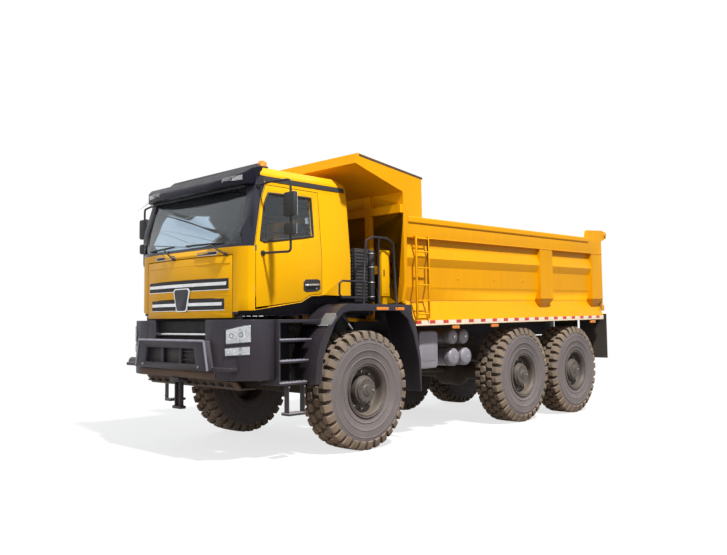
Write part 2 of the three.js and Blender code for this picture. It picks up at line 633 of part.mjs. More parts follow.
function dumpBody() {
  // outline of the whole tub: down the left side, under the floor, up the right, and back inside
  const outline = [
    ...sideWall,
    ...mirrored(sideWall),
    ...[...wallInside].reverse().map(([x, z]) => [-x, z]),
    ...wallInside,
  ];
  const tub = alongY(outline, BED_FRONT + 40, BED_REAR);
  const headboard = alongY(bothSides([
    [1290, FLOOR_LOW - 110], [1340, 1850], [1413, 1870], [1470, 2130], [1470, 3340],
  ]), BED_FRONT, BED_FRONT + 60);
  const cheek = (x0, x1) => acrossX([
    [BED_FRONT, 2900], [BED_FRONT, 3326], [-215, 3599], [-172, 3733], [1060, 3568], [1060, 2900],
  ], x0, x1);
  const guard = acrossX([
    [BED_FRONT + 60, 3300], [BED_FRONT, 3326], [-215, 3599], [-200, 3640], [BED_FRONT + 60, 3345],
  ], -BED_HALF, BED_HALF);
  const lip = acrossX([[-215, 3599], [-172, 3733], [-130, 3733], [-150, 3620]], -BED_HALF, BED_HALF);
  const upperRib = box(-1465, 1465, BED_FRONT - 60, BED_FRONT + 10, 3050, 3160);
  const lowerRib = box(-1200, 1200, BED_FRONT - 60, BED_FRONT + 10, 2250, 2360);
  const ribFace = (x0, x1) => box(x0, x1, BED_FRONT - 60, BED_FRONT + 10, 1640, 3320);
  const hinge = inBed(HINGE);
  const trunnion = inBed(TRUNNION);
  const slopeDrop = (y) => (y - BED_DATUM.y) * Math.tan(BED_SLOPE);
  const sillLow = (y) => 1340 - slopeDrop(y);
  const sill = (x0, x1) => acrossX([
    [BED_FRONT + 50, sillLow(BED_FRONT + 50)], [5880, sillLow(5880)], [5880, hinge.z - 20],
    [hinge.y - 45, hinge.z - 65], [hinge.y + 45, hinge.z - 65], [hinge.y + 80, hinge.z - 20],
    [hinge.y + 80, sillLow(6040)], [BED_REAR - 20, sillLow(BED_REAR)], [BED_REAR - 20, FLOOR_LOW + 20],
    [BED_FRONT + 50, FLOOR_LOW + 20],
  ], x0, x1);
  // closes the floor's front corners over the fenders
  const cornerCover = (x0, x1) => acrossX([
    [BED_FRONT + 20, FLOOR_LOW], [BED_FRONT + 20, 1885], [830, 1885], [868, FLOOR_LOW],
  ], x0, x1);
  const floorBeam = (y) => box(-460, 460, y, y + 90, 1560, FLOOR_LOW + 20);
  const beams = [1500, 2600, 3700, 4800, 5700].map(floorBeam);
  const trunnionLug = (x0, x1) => box(x0, x1, trunnion.y - 60, BED_FRONT + 20, trunnion.z - 70, trunnion.z + 90);
  // a side post, whose foot narrows and slopes back into the skirt
  const post = (y0, y1) => join(
    box(1340, BED_HALF, y0, y1, 1913, 1998),
    box(1380, BED_HALF, y0, y1, 1996, 2740),
    common(
      acrossX([[y0 + 75, 1775], [y1 - 75, 1775], [y1, 1915], [y0, 1915]], 1300, BED_HALF),
      alongY([[1300, 1775], [1400, 1775], [BED_HALF, 1915], [1300, 1915]], y0, y1),
    ),
  );
  const posts = join(post(4050, 4440), post(5790, BED_REAR));
  const ear = (x0, x1) => acrossX([
    [5650, BED_RAIL_TOP - 40], [5700, 3150], [6200, 3174], [REAR_END, 3150], [REAR_END, 3040],
    [BED_REAR, BED_RAIL_TOP - 40],
  ], x0, x1);
  const mudflap = (x0, x1) => join(
    box(x0, x1, 6335, 6349, 825, 1640),
    box(x0 + 100, x0 + 150, BED_REAR - 40, 6345, 1570, 1640),
    box(x1 - 150, x1 - 100, BED_REAR - 40, 6345, 1570, 1640),
  );
  const rearBeam = box(-1440, 1440, BED_REAR - 80, BED_REAR - 20, 1560, FLOOR_LOW + 20);
  // room over the rear end of the front fenders
  const fenderRoom = (x0, x1) => acrossX([
    [500, 1300], [500, 1850], [805, 1850], [845, 1660], [915, 1500], [915, 1300],
  ], x0, x1);
  const solid = join(
    tub, headboard, cheek(BED_HALF - 60, BED_HALF), cheek(-BED_HALF, 60 - BED_HALF), guard, lip,
    upperRib, lowerRib, ribFace(810, 910), ribFace(-910, -810),
    sill(385, 455), sill(-455, -385), ...beams,
    trunnionLug(108, 150), trunnionLug(-150, -108),
    posts, posts.clone().scale(-1, 1, 1),
    ear(1400, 1470), ear(-1470, -1400),
    rod([1335, TAILGATE_PIVOT.y, TAILGATE_PIVOT.z], [1405, TAILGATE_PIVOT.y, TAILGATE_PIVOT.z], 25, 14),
    rod([-1405, TAILGATE_PIVOT.y, TAILGATE_PIVOT.z], [-1335, TAILGATE_PIVOT.y, TAILGATE_PIVOT.z], 25, 14),
    mudflap(900, 1445), mudflap(-1445, -900), rearBeam,
    cornerCover(950, 1360), cornerCover(-1360, -950),
  );
  return cut(
    solid,
    rod([-600, hinge.y, hinge.z], [600, hinge.y, hinge.z], 41, 20),
    rod([-200, trunnion.y, trunnion.z], [200, trunnion.y, trunnion.z], 36, 16),
    fenderRoom(990, 1500), fenderRoom(-1500, -990),
  );
}

function bedLadder() {
  const stile = (y) => box(1490, 1515, y - 12, y + 12, 1640, 2760);
  const rung = (z) => rod([1502, 870, z], [1502, 1143, z], 11, 8);
  const stay = (y, z) => box(BED_HALF + GAP, 1495, y - 12, y + 12, z, z + 30);
  return join(
    stile(880), stile(1133),
    ...[1700, 1880, 2090, 2320, 2540, 2720].map(rung),
    stay(880, 2730), stay(1133, 2730),
  );
}

function tailgate() {
  const { y, z } = TAILGATE_PIVOT;
  const arm = (x0, x1) => cut(
    acrossX([
      [BED_REAR + 12, 2850], [BED_REAR + 90, 2850], [y + 45, z + 20], [y + 20, z + 45],
      [y - 20, z + 45], [y - 45, z + 20], [BED_REAR + 12, BED_RAIL_TOP + 10],
    ], x0, x1),
    rod([x0 - 50, y, z], [x1 + 50, y, z], 26, 14),
  );
  const rib = (x) => box(x - 45, x + 45, 6230, 6290, 1780, 2940);
  // the top corners are cut in, so that they pass between the bed's rear ears
  const plate = bothSides([[1440, 1700], [1440, 2830], [1388, 2880], [1388, 2960]]);
  return join(
    alongY(plate, BED_REAR + 10, BED_REAR + 60),
    box(-1388, 1388, 6230, 6290, 2840, 2960),
    box(-1440, 1440, 6230, 6290, 1700, 1800),
    ...[-1340, -670, 0, 670, 1340].map(rib),
    arm(1342, 1385), arm(-1385, -1342),
  );
}

// ---------------------------------------------------------------- hoist
const HOIST_LOW = 1175;
const hoistRadii = [[95, 82], [80, 68], [66, 54], [52, 0]];

function hoistTube() {
  const [outer, bore] = hoistRadii[0];
  const { y, z } = TRUNNION;
  return join(
    cut(
      rod([0, y, HOIST_LOW], [0, y, 2900], outer, 20),
      rod([0, y, 1100], [0, y, 2862], bore, 20),
    ),
    cut(
      rod([-146, y, z], [146, y, z], 35, 16),
      rod([0, y, z - 100], [0, y, z + 100], bore + 4, 20),
    ),
  );
}

function hoistStage(order) {
  const [outer, bore] = hoistRadii[order];
  const low = HOIST_LOW - 12 * order;
  const top = 2855 - 14 * order;
  const { y } = TRUNNION;
  if (bore) {
    return cut(rod([0, y, low], [0, y, top], outer, 20), rod([0, y, low - 50], [0, y, top - 10], bore, 20));
  }
  return join(
    rod([0, y, HOIST_FOOT.z], [0, y, top], outer, 16),
    rod([-40, y, HOIST_FOOT.z], [40, y, HOIST_FOOT.z], 50, 16),
  );
}

// ---------------------------------------------------------------- assembly
piece(truck, 'chassis_frame', chassisFrame(), steel);
piece(truck, 'hoist_mount', hoistMount(), steel);
piece(truck, 'tow_beam', box(-300, 300, RAIL_REAR - 110, RAIL_REAR, 820, RAIL_LOW - GAP), steel);
piece(truck, 'bed_pivot', bedPivot(), steel);
piece(truck, 'engine_block', box(-330, 330, -1400, -160, 940, 1640), castIron);
piece(truck, 'gearbox', gearbox(), castIron);
piece(truck, 'front_axle', frontAxle(), castIron);
piece(truck, 'mid_axle', driveAxle(AXLE_Y.mid), castIron);
piece(truck, 'rear_axle', driveAxle(AXLE_Y.rear), castIron);
piece(truck, 'bogie_springs', bogieSprings(), castIron);
pair(truck, truck, 'knuckle', knuckle(), castIron);
for (const [side, name] of [[1, 'left'], [-1, 'right']]) {
  for (const axle of ['front', 'mid', 'rear']) wheel(truck, `${axle}_${name}`, side, AXLE_Y[axle]);
}

piece(truck, 'bumper', bumper(), charcoal);
piece(truck, 'tow_bracket', towBracket(), steel);
piece(truck, 'side_bar', sideBar(), blackPlastic);
pair(truck, truck, 'steps', steps(), charcoal);
pair(truck, truck, 'fender', fender(), charcoal);

piece(truck, 'cab_shell', cabShell(), yellow);
piece(truck, 'windscreen', windscreen(), glass);
piece(truck, 'rear_glass', rearGlass(), glass);
piece(truck, 'roof_visor', roofVisor(), blackPlastic);
piece(truck, 'dashboard', dashboard(), blackPlastic);
piece(truck, 'steering_wheel', steeringWheel(), blackPlastic);
piece(truck, 'seats', seats(), cloth);
pair(truck, truck, 'door', door(), yellow);
pair(truck, truck, 'door_glass', doorGlass(), glass);
pair(truck, truck, 'mirror', mirror(), blackPlastic);
piece(truck, 'grille_flap', grilleFlap(), yellow);

piece(truck, 'air_cleaner', airCleaner(), blackPlastic);
piece(truck, 'side_cabinet', sideCabinet(), yellow);
piece(truck, 'fuel_tank_left', fuelTank(), paleGrey);
piece(truck, 'fuel_tank_right', rightTank(), paleGrey);
piece(truck, 'air_tanks', airTanks(), paleGrey);

piece(bedInner, 'dump_body', dumpBody(), yellow);
piece(bedInner, 'bed_ladder', bedLadder(), yellow);
piece(bedInner, 'tailgate', tailgate(), yellow);

piece(truck, 'hoist_tube', hoistTube(), steel);
for (const order of [1, 2, 3]) piece(truck, `hoist_stage_${order}`, hoistStage(order), chrome);

// the origin is at the middle of the whole box, on the ground
const whole = new THREE.Box3().setFromObject(truck, true);
truck.position.y = -(whole.min.y + whole.max.y) / 2;

export default truck;
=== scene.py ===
"""The looks of a rigid six-wheel mining dump truck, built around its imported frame.

Everything is in metres. The truck looks along -Y, +X is its left and the ground is at z = 0.
"""
import json
import math

import bmesh
import bpy
from mathutils import Matrix, Vector
from mathutils.bvhtree import BVHTree


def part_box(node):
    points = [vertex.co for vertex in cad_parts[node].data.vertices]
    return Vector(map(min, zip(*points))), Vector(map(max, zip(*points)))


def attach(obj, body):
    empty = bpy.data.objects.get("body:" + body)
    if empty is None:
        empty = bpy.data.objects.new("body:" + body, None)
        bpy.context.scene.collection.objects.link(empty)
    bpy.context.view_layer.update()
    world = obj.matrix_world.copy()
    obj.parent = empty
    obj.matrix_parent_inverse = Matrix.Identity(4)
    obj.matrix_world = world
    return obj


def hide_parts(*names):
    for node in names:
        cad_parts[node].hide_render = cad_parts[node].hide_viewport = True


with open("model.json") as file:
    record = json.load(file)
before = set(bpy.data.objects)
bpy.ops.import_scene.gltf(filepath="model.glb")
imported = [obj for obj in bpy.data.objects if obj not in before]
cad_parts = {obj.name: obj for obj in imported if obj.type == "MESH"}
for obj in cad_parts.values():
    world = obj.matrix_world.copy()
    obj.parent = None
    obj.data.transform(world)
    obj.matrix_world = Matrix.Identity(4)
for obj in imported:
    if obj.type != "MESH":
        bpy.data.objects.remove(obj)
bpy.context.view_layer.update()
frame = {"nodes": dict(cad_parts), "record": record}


# ------------------------------------------------------------ camera and studio
# A pale floor under a white surround, with a high sun over the truck's left side, a weak
# lamp in front of it and a faint one from the far side.
front_low, front_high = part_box("tyre_front_left")
AXLE = (front_low.y + front_high.y) / 2          # y of the front axle


def placed(name, data):
    """A new object in the scene."""
    made = bpy.data.objects.new(name, data)
    bpy.context.scene.collection.objects.link(made)
    return made


camera_data = bpy.data.cameras.new("camera")
camera_data.lens = 37.44
camera_data.sensor_width = 36.0
camera_data.clip_end = 200.0
camera = placed("camera", camera_data)
bpy.context.scene.camera = camera
camera.matrix_world = (
    Matrix.Translation((8.068, AXLE - 6.838, 1.615))
    @ Matrix.Rotation(math.radians(44.443), 4, "Z")
    @ Matrix.Rotation(math.radians(90 + 3.290), 4, "X")
    @ Matrix.Rotation(math.radians(-0.426), 4, "Z")
)

bpy.context.scene.view_settings.view_transform = "Standard"


def shader(tree, kind, inputs=(), **settings):
    """Adds one node; each input is a plain value or the socket that feeds it."""
    made = tree.nodes.new("ShaderNode" + kind)
    for key, value in settings.items():
        setattr(made, key, value)
    for key, value in dict(inputs).items():
        if isinstance(value, bpy.types.NodeSocket):
            tree.links.new(value, made.inputs[key])
        else:
            made.inputs[key].default_value = value
    return made


def blank_material(name):
    """A new material and its empty node tree."""
    material = bpy.data.materials.new(name)
    material.use_nodes = True
    material.node_tree.nodes.clear()
    return material, material.node_tree


def math_of(tree, operation, *values, **settings):
    """The outcome of one sum on sockets or plain numbers."""
    return shader(tree, "Math", dict(enumerate(values)), operation=operation, **settings).outputs[0]


def product(tree, first, *factors):
    """Multiplies sockets and numbers."""
    for factor in factors:
        first = math_of(tree, "MULTIPLY", first, factor)
    return first


def mixed(tree, factor, first, second):
    """The colour between two colours."""
    return shader(tree, "Mix", {0: factor, 6: first, 7: second}, data_type="RGBA").outputs[2]


def between(tree, value, low, high, to_low=0.0, to_high=1.0):
    """The value's place between two limits, smoothed and clamped."""
    return shader(tree, "MapRange", {"Value": value, "From Min": low, "From Max": high,
                                     "To Min": to_low, "To Max": to_high},
                  interpolation_type="SMOOTHSTEP").outputs[0]


def seen_rays(tree):
    """1 for rays that show the background: straight, mirrored or through glass."""
    path = shader(tree, "LightPath").outputs
    some = math_of(tree, "MAXIMUM", path["Is Camera Ray"], path["Is Glossy Ray"])
    return math_of(tree, "MAXIMUM", some, path["Is Transmission Ray"])


world = bpy.data.worlds.new("surround")
bpy.context.scene.world = world
world.use_nodes = True
sky = world.node_tree
sky.nodes.clear()
lit = shader(sky, "Background", {"Color": (0.88, 0.93, 1.0, 1), "Strength": 0.50})
white = shader(sky, "Background", {"Color": (1, 1, 1, 1), "Strength": 1.0})
choice = shader(sky, "MixShader", {0: seen_rays(sky), 1: lit.outputs[0], 2: white.outputs[0]})
shader(sky, "OutputWorld", {"Surface": choice.outputs[0]})

floor_mesh = bmesh.new()
bmesh.ops.create_circle(floor_mesh, cap_ends=True, segments=64, radius=60)
floor_data = bpy.data.meshes.new("floor")
floor_mesh.to_mesh(floor_data)
floor_mesh.free()
floor = placed("floor", floor_data)
floor_paint, tree = blank_material("pale_floor")
place = shader(tree, "TexCoord").outputs["Object"]
away = shader(tree, "VectorMath", {0: place}, operation="LENGTH").outputs["Value"]
fade = between(tree, away, 4.0, 9.0, 0.72, 1.0)
fade_seen = product(tree, fade, seen_rays(tree))
seen_floor = mixed(tree, seen_rays(tree), (0.17, 0.125, 0.090, 1), (0.86, 0.86, 0.86, 1))
matt = shader(tree, "BsdfDiffuse", {"Color": seen_floor})
glow = shader(tree, "Emission", {"Color": (1, 1, 1, 1), "Strength": 1.0})
floor_mix = shader(tree, "MixShader", {0: fade_seen, 1: matt.outputs[0], 2: glow.outputs[0]})
shader(tree, "OutputMaterial", {"Surface": floor_mix.outputs[0]})
floor_data.materials.append(floor_paint)


def soft_lamp(name, place, target, size, power, colour, mirrored=True):
    """A square area lamp that looks at the target, and shows in mirrored rays or not."""
    data = bpy.data.lights.new(name, "AREA")
    data.size = size
    data.energy = power
    data.color = colour
    lamp = placed(name, data)
    lamp.location = place
    lamp.rotation_euler = (Vector(target) - Vector(place)).to_track_quat("-Z", "Y").to_euler()
    lamp.visible_glossy = mirrored
    lamp.visible_transmission = mirrored


soft_lamp("high_sun", (14.5, -5.2, 22.0), (0.3, -0.6, 1.2), 1.5, 11200, (1.0, 0.98, 0.93))
soft_lamp("front_fill", (2.0, -14.0, 5.0), (0, -3, 1.5), 5.0, 420, (1.0, 0.97, 0.95), mirrored=False)
soft_lamp("far_side", (-11.0, 4.0, 6.0), (0, 0, 1.5), 5.0, 420, (0.90, 0.95, 1.0), mirrored=False)


# ------------------------------------------------------------ tyres
# Six earthmover tyres: a turned rubber carcass with a bead, a bulging side wall, moulded rings,
# grooves darkened with painted shade, and staggered rock lugs round the crown and over the shoulders.
WHEEL_R = (front_high.z - front_low.z) / 2
TREAD_BASE = WHEEL_R - 0.036                     # the bottom of the grooves
LUG_FOOT = TREAD_BASE - 0.01                     # lugs start a little below it
CROWN_EDGE = 0.66                                # outside this radius lies the tread
PITCHES = 32                                     # lugs round the girth


def group_tree(name, inputs, outputs):
    """An empty shader group with number inputs and number outputs."""
    group = bpy.data.node_groups.new(name, "ShaderNodeTree")
    for label, value in inputs.items():
        group.interface.new_socket(label, in_out="INPUT", socket_type="NodeSocketFloat").default_value = value
    for label in outputs:
        group.interface.new_socket(label, in_out="OUTPUT", socket_type="NodeSocketFloat")
    return group, group.nodes.new("NodeGroupInput").outputs, group.nodes.new("NodeGroupOutput").inputs


def noise(tree, place, scale, detail=2.0, roughness=0.5):
    """Cloudy noise between 0 and 1."""
    return shader(tree, "TexNoise", {"Vector": place, "Scale": scale, "Detail": detail,
                                     "Roughness": roughness}).outputs["Fac"]


# Dust: thick near the ground, on faces that look up, and in blotches.
dust_film, dust_in, dust_out = group_tree("dust_film", {"Amount": 0.5, "Reach": 1.2}, ["Mask"])
dust_place = shader(dust_film, "TexCoord").outputs
dust_height = shader(dust_film, "SeparateXYZ", {0: dust_place["Object"]}).outputs["Z"]
dust_low = math_of(dust_film, "SUBTRACT", 1.0, math_of(dust_film, "DIVIDE", dust_height, dust_in["Reach"]))
dust_facing = shader(dust_film, "SeparateXYZ", {0: dust_place["Normal"]}).outputs["Z"]
dust_up = between(dust_film, dust_facing, 0.3, 1.0, 0.0, 0.45)
dust_blotch = noise(dust_film, dust_place["Object"], 2.3, 7.0, 0.62)
dust_speck = noise(dust_film, dust_place["Object"], 46.0, 4.0, 0.7)
dust_sum = math_of(dust_film, "ADD", math_of(dust_film, "MAXIMUM", dust_low, 0.0), dust_up)
dust_mix = math_of(dust_film, "ADD", dust_blotch, product(dust_film, dust_speck, 0.5))
dust_patch = between(dust_film, dust_mix, 0.52, 0.95, 0.35, 1.0)
dust_full = product(dust_film, dust_sum, dust_patch, dust_in["Amount"])
dust_film.links.new(math_of(dust_film, "MINIMUM", dust_full, 0.92), dust_out["Mask"])

# Grain: a fine height for bumps and a slow change of tone with faint runs down the sides.
surface_grain, grain_in, grain_out = group_tree("surface_grain", {"Scale": 200.0}, ["Height", "Tone"])
grain_place = shader(surface_grain, "TexCoord").outputs["Object"]
grain_fine = noise(surface_grain, grain_place, grain_in["Scale"], 3.0)
grain_runs = shader(surface_grain, "Mapping", {"Vector": grain_place, "Scale": (1.0, 1.0, 0.12)})
grain_slow = product(surface_grain, noise(surface_grain, grain_place, 1.1, 5.0), 0.55)
grain_streak = product(surface_grain, noise(surface_grain, grain_runs.outputs[0], 9.0, 4.0), 0.45)
grain_tone = math_of(surface_grain, "ADD", grain_slow, grain_streak)
surface_grain.links.new(grain_fine, grain_out["Height"])
surface_grain.links.new(between(surface_grain, grain_tone, 0.36, 0.64), grain_out["Tone"])

# Edge wear: broken chips along edges, where a rounded normal leaves the true one.
edge_wear, wear_in, wear_out = group_tree("edge_wear", {"Amount": 0.5, "Radius": 0.01}, ["Mask"])
wear_round = shader(edge_wear, "Bevel", {"Radius": wear_in["Radius"]}, samples=4).outputs[0]
wear_true = shader(edge_wear, "NewGeometry").outputs["Normal"]
wear_dot = shader(edge_wear, "VectorMath", {0: wear_round, 1: wear_true},
                  operation="DOT_PRODUCT").outputs["Value"]
wear_edge = between(edge_wear, wear_dot, 0.985, 0.86)
wear_noise = noise(edge_wear, shader(edge_wear, "TexCoord").outputs["Object"], 14.0, 8.0, 0.68)
wear_break = between(edge_wear, wear_noise, 0.50, 0.60)
edge_wear.links.new(product(edge_wear, wear_edge, wear_break, wear_in["Amount"]), wear_out["Mask"])

DUST = (0.36, 0.27, 0.19, 1)


def effect(tree, group, output, **inputs):
    """One of the shared groups, placed in a material with its own values."""
    made = tree.nodes.new("ShaderNodeGroup")
    made.node_tree = group
    for label, value in inputs.items():
        made.inputs[label].default_value = value
    return made.outputs[output] if output else made.outputs


def finish(name, colour, roughness, metallic=0.0, shade=0.86, dust=0.5, reach=1.2, wear=0.0,
           bare=(0.30, 0.28, 0.26, 1), scale=180.0, bump=0.0006, dust_colour=DUST, gloss=0.5,
           tint=(1, 1, 1, 1)):
    """A solid finish: base colour with slow tone change, chipped edges, dust and a fine grain."""
    material, nodes = blank_material(name)
    grain = effect(nodes, surface_grain, None, Scale=scale)
    deep = tuple(channel * shade for channel in colour[:3]) + (1,)
    tone = mixed(nodes, grain["Tone"], deep, tuple(colour[:3]) + (1,))
    if wear:
        tone = mixed(nodes, effect(nodes, edge_wear, "Mask", Amount=wear, Radius=0.012), tone, bare)
    mask = effect(nodes, dust_film, "Mask", Amount=dust, Reach=reach)
    dusty = mixed(nodes, mask, tone, dust_colour)
    worn = math_of(nodes, "MULTIPLY_ADD", grain["Tone"], 0.10, roughness)
    rough = math_of(nodes, "MULTIPLY_ADD", mask, 0.40, worn, use_clamp=True)
    bumped = shader(nodes, "Bump", {"Height": grain["Height"], "Strength": 1.0, "Distance": bump})
    surface = shader(nodes, "BsdfPrincipled", {
        "Base Color": dusty, "Roughness": rough, "Metallic": metallic, "Specular IOR Level": gloss,
        "Specular Tint": tint, "Normal": bumped.outputs[0]})
    shader(nodes, "OutputMaterial", {"Surface": surface.outputs[0]})
    return material


tread_rubber = finish("tread_rubber", (0.125, 0.100, 0.082), 0.86, shade=0.70, dust=0.9, reach=2.6,
                      scale=90.0, bump=0.002, dust_colour=(0.30, 0.225, 0.165, 1))
side_rubber = finish("side_rubber", (0.118, 0.104, 0.112), 0.80, shade=0.78, dust=0.45, reach=2.4,
                     scale=120.0, bump=0.001, dust_colour=(0.27, 0.230, 0.215, 1))
# Painted shade: the groove floors take a much darker rubber than the lugs, standing in for the shade down in
# the grooves.
groove_painted_shade = finish("groove_painted_shade", (0.034, 0.027, 0.024), 0.90, shade=0.6, dust=0.30, reach=2.4,
                       scale=90.0, bump=0.002)

body_of = {node: body for body, nodes in frame["record"]["behaviour"]["bodies"].items() for node in nodes}


def shape(bm, name, materials, slot, *replaced, body="chassis", smooth=40.0):
    """Turns a bmesh into a finished piece that rides with the nodes it replaces, or on a named body."""
    data = bpy.data.meshes.new(name)
    bm.to_mesh(data)
    bm.free()
    data.shade_smooth()
    data.set_sharp_from_angle(angle=math.radians(smooth))
    for material in materials:
        data.materials.append(material)
    piece = placed(name, data)
    if replaced:
        body = body_of[replaced[0]]
    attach(piece, body)
    if replaced:
        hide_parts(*replaced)
    return piece


def centre_of(node):
    """The middle of a CAD node's box."""
    low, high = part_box(node)
    return (low + high) / 2


def face_out(bm, faces, slot=0):
    """Turns a closed set of faces outward and gives them their material."""
    bmesh.ops.recalc_face_normals(bm, faces=faces)
    for face in faces:
        face.material_index = slot


def hull(bm, foot, crown, slot=0):
    """Faces that close the space between two matching rings of corners, the crown's first."""
    count = len(foot)
    faces = [bm.faces.new(crown), bm.faces.new(foot[::-1])]
    for i in range(count):
        j = (i + 1) % count
        faces.append(bm.faces.new((foot[i], foot[j], crown[j], crown[i])))
    face_out(bm, faces, slot)
    return faces


def soften_edges(bm, edges, offset, segments=2):
    """Rounds edges with a small bevel in the neighbours' material."""
    bmesh.ops.bevel(bm, geom=edges, offset=offset, segments=segments, profile=0.5, affect="EDGES",
                    material=-1)


def turned(bm, profile, steps=64, centre=(0, 0, 0), slot=0):
    """Spins an [along x, radius] outline, a closed loop or from pole to pole, about the X axis."""
    before = set(bm.faces)
    corners = [bm.verts.new((along, 0, radius)) for along, radius in profile]
    closed = profile[0][1] > 1e-6 or profile[-1][1] > 1e-6
    pairs = list(zip(corners, corners[1:])) + ([(corners[-1], corners[0])] if closed else [])
    edges = [bm.edges.new(pair) for pair in pairs]
    bmesh.ops.spin(bm, geom=corners + edges, cent=(0, 0, 0), axis=(1, 0, 0), angle=2 * math.pi,
                   steps=steps, use_merge=True)
    fresh = [face for face in bm.faces if face not in before]
    points = list({corner for face in fresh for corner in face.verts})
    bmesh.ops.remove_doubles(bm, verts=points, dist=1e-6)
    fresh = [face for face in bm.faces if face not in before]
    face_out(bm, fresh, slot)
    points = list({corner for face in fresh for corner in face.verts})
    bmesh.ops.translate(bm, verts=points, vec=centre)


def lug(bm, outline, low, high, top_share):
    """A tread block over an [along the girth, x] outline, from one radius to another."""
    def at(along, x, radius):
        turn = along / WHEEL_R
        return x, radius * math.sin(turn), radius * math.cos(turn)
    middle = Vector((sum(p[0] for p in outline), sum(p[1] for p in outline))) / len(outline)
    foot = [bm.verts.new(at(along, x, low)) for along, x in outline]
    crown = []
    for along, x in outline:
        shrunk = middle + (Vector((along, x)) - middle) * top_share
        crown.append(bm.verts.new(at(shrunk.x, shrunk.y, high)))
    top = hull(bm, foot, crown)[0]
    soften_edges(bm, list(top.edges), 0.004, 1)


def shoulder_lug(bm, sign, start, end):
    """A lug that wraps from the crown over the shoulder, between two places along the girth."""
    section = [(0.118, WHEEL_R - 0.001), (0.188, WHEEL_R - 0.004), (0.207, WHEEL_R - 0.030), (0.2255, 0.640),
               (0.214, 0.632), (0.150, LUG_FOOT), (0.118, LUG_FOOT)]
    rings = []
    steps = ((start, 0.96), (start + 0.006, 1.0), ((start + end) / 2, 1.0), (end - 0.006, 1.0), (end, 0.96))
    for along, squeeze in steps:
        turn = along / WHEEL_R
        ring = []
        for x, radius in section:
            share = squeeze if radius > TREAD_BASE else 1.0
            reach = LUG_FOOT + (radius - LUG_FOOT) * share
            ring.append(bm.verts.new((sign * x, reach * math.sin(turn), reach * math.cos(turn))))
        rings.append(ring)
    faces = [bm.faces.new(rings[0]), bm.faces.new(rings[-1])]
    for ring, following in zip(rings, rings[1:]):
        for i in range(len(section)):
            j = (i + 1) % len(section)
            faces.append(bm.faces.new((ring[i], ring[j], following[j], following[i])))
    face_out(bm, faces)


tread = bmesh.new()
pitch = 2 * math.pi * WHEEL_R / PITCHES
half_hex = [(-0.058, -0.006), (-0.030, -0.050), (0.030, -0.050), (0.058, -0.006), (0.052, 0.046),
            (-0.052, 0.046)]
for sign in (1, -1):
    shift = sign * pitch / 4
    lug(tread, [(along + shift, sign * (x + 0.056)) for along, x in half_hex],
        TREAD_BASE - 0.008, WHEEL_R, 0.88)
    shoulder_lug(tread, sign, -shift - 0.046, -shift + 0.046)
one_pitch = bpy.data.meshes.new("one_pitch")
tread.to_mesh(one_pitch)
tread.free()

carcass_profile = [
    (0.0, TREAD_BASE + 0.002), (0.10, TREAD_BASE), (0.165, TREAD_BASE - 0.012), (0.192, 0.690),
    (0.207, 0.655), (0.2185, 0.622), (0.2215, 0.596), (0.2262, 0.592), (0.2262, 0.584), (0.2225, 0.578),
    (0.2235, 0.545), (0.2225, 0.512), (0.2260, 0.506), (0.2260, 0.498), (0.2200, 0.490), (0.2150, 0.455),
    (0.2080, 0.420), (0.2130, 0.412), (0.2130, 0.402), (0.2040, 0.392), (0.2000, 0.360), (0.196, 0.352),
    (0.196, 0.322),
]
carcass_profile += [(-x, radius) for x, radius in reversed(carcass_profile) if x > 0]
wheels = [f"{axle}_{side}" for side in ("left", "right") for axle in ("front", "mid", "rear")]
for wheel_name in wheels:
    tyre = bmesh.new()
    turned(tyre, carcass_profile, 96, slot=1)
    # Carcass faces in the tread take the grooves' painted shade colour.
    for face in tyre.faces:
        spot = face.calc_center_median()
        if math.hypot(spot.y, spot.z) > CROWN_EDGE:
            face.material_index = 2
    for step in range(PITCHES):
        one_pitch.transform(Matrix.Rotation(2 * math.pi / PITCHES, 4, "X"))
        tyre.from_mesh(one_pitch)
    bmesh.ops.translate(tyre, verts=tyre.verts, vec=centre_of(f"tyre_{wheel_name}"))
    shape(tyre, f"rock_tyre_{wheel_name}", [tread_rubber, side_rubber, groove_painted_shade], "tyre_rubber",
          f"tyre_{wheel_name}", smooth=32.0)


# ------------------------------------------------------------ rims and hubs
# Dark painted multi-piece rims: a rolled flange with its lock ring, a deep dish with ten
# wheel studs, and the reduction hub that stands out of it with a bolted cover.
rim_black = finish("rim_black", (0.036, 0.033, 0.038), 0.46, shade=0.6, dust=0.28, reach=2.2, wear=0.5,
                   bare=(0.16, 0.15, 0.14, 1), scale=120.0)
bright_steel = finish("bright_steel", (0.55, 0.55, 0.56), 0.30, metallic=1.0, shade=0.75, dust=0.3)


def mirror_x(bm):
    """Turns a mesh into its mirror image across x = 0, normals still outward."""
    bmesh.ops.scale(bm, verts=bm.verts, vec=(-1, 1, 1))
    bmesh.ops.reverse_faces(bm, faces=bm.faces)


def cone(bm, place, foot, top, height, sides, slot):
    """A stud or bowl about a placed Z axis, from one radius to another."""
    made = bmesh.ops.create_cone(bm, cap_ends=True, segments=sides, radius1=foot, radius2=top,
                                 depth=height, matrix=place)
    for face in {face for corner in made["verts"] for face in corner.link_faces}:
        face.material_index = slot


def knob(bm, centre, radius, height, sides=6, slot=0, axis="X", tip=1.0):
    """A nut, stud or boss that stands out along an axis, tapered to a share of its radius."""
    turn = {"X": Matrix.Rotation(math.pi / 2, 4, "Y"), "-X": Matrix.Rotation(-math.pi / 2, 4, "Y"),
            "Z": Matrix(), "Y": Matrix.Rotation(-math.pi / 2, 4, "X"),
            "-Y": Matrix.Rotation(math.pi / 2, 4, "X")}[axis]
    place = Matrix.Translation(centre) @ turn @ Matrix.Translation((0, 0, height / 2))
    cone(bm, place, radius, radius * tip, height, sides, slot)


def circle(radius, count, offset=0.0):
    """Places round a circle, as [cosine side, sine side]; the offset shifts them by part of a step."""
    turns = [2 * math.pi * (k + offset) / count for k in range(count)]
    return [(radius * math.cos(turn), radius * math.sin(turn)) for turn in turns]


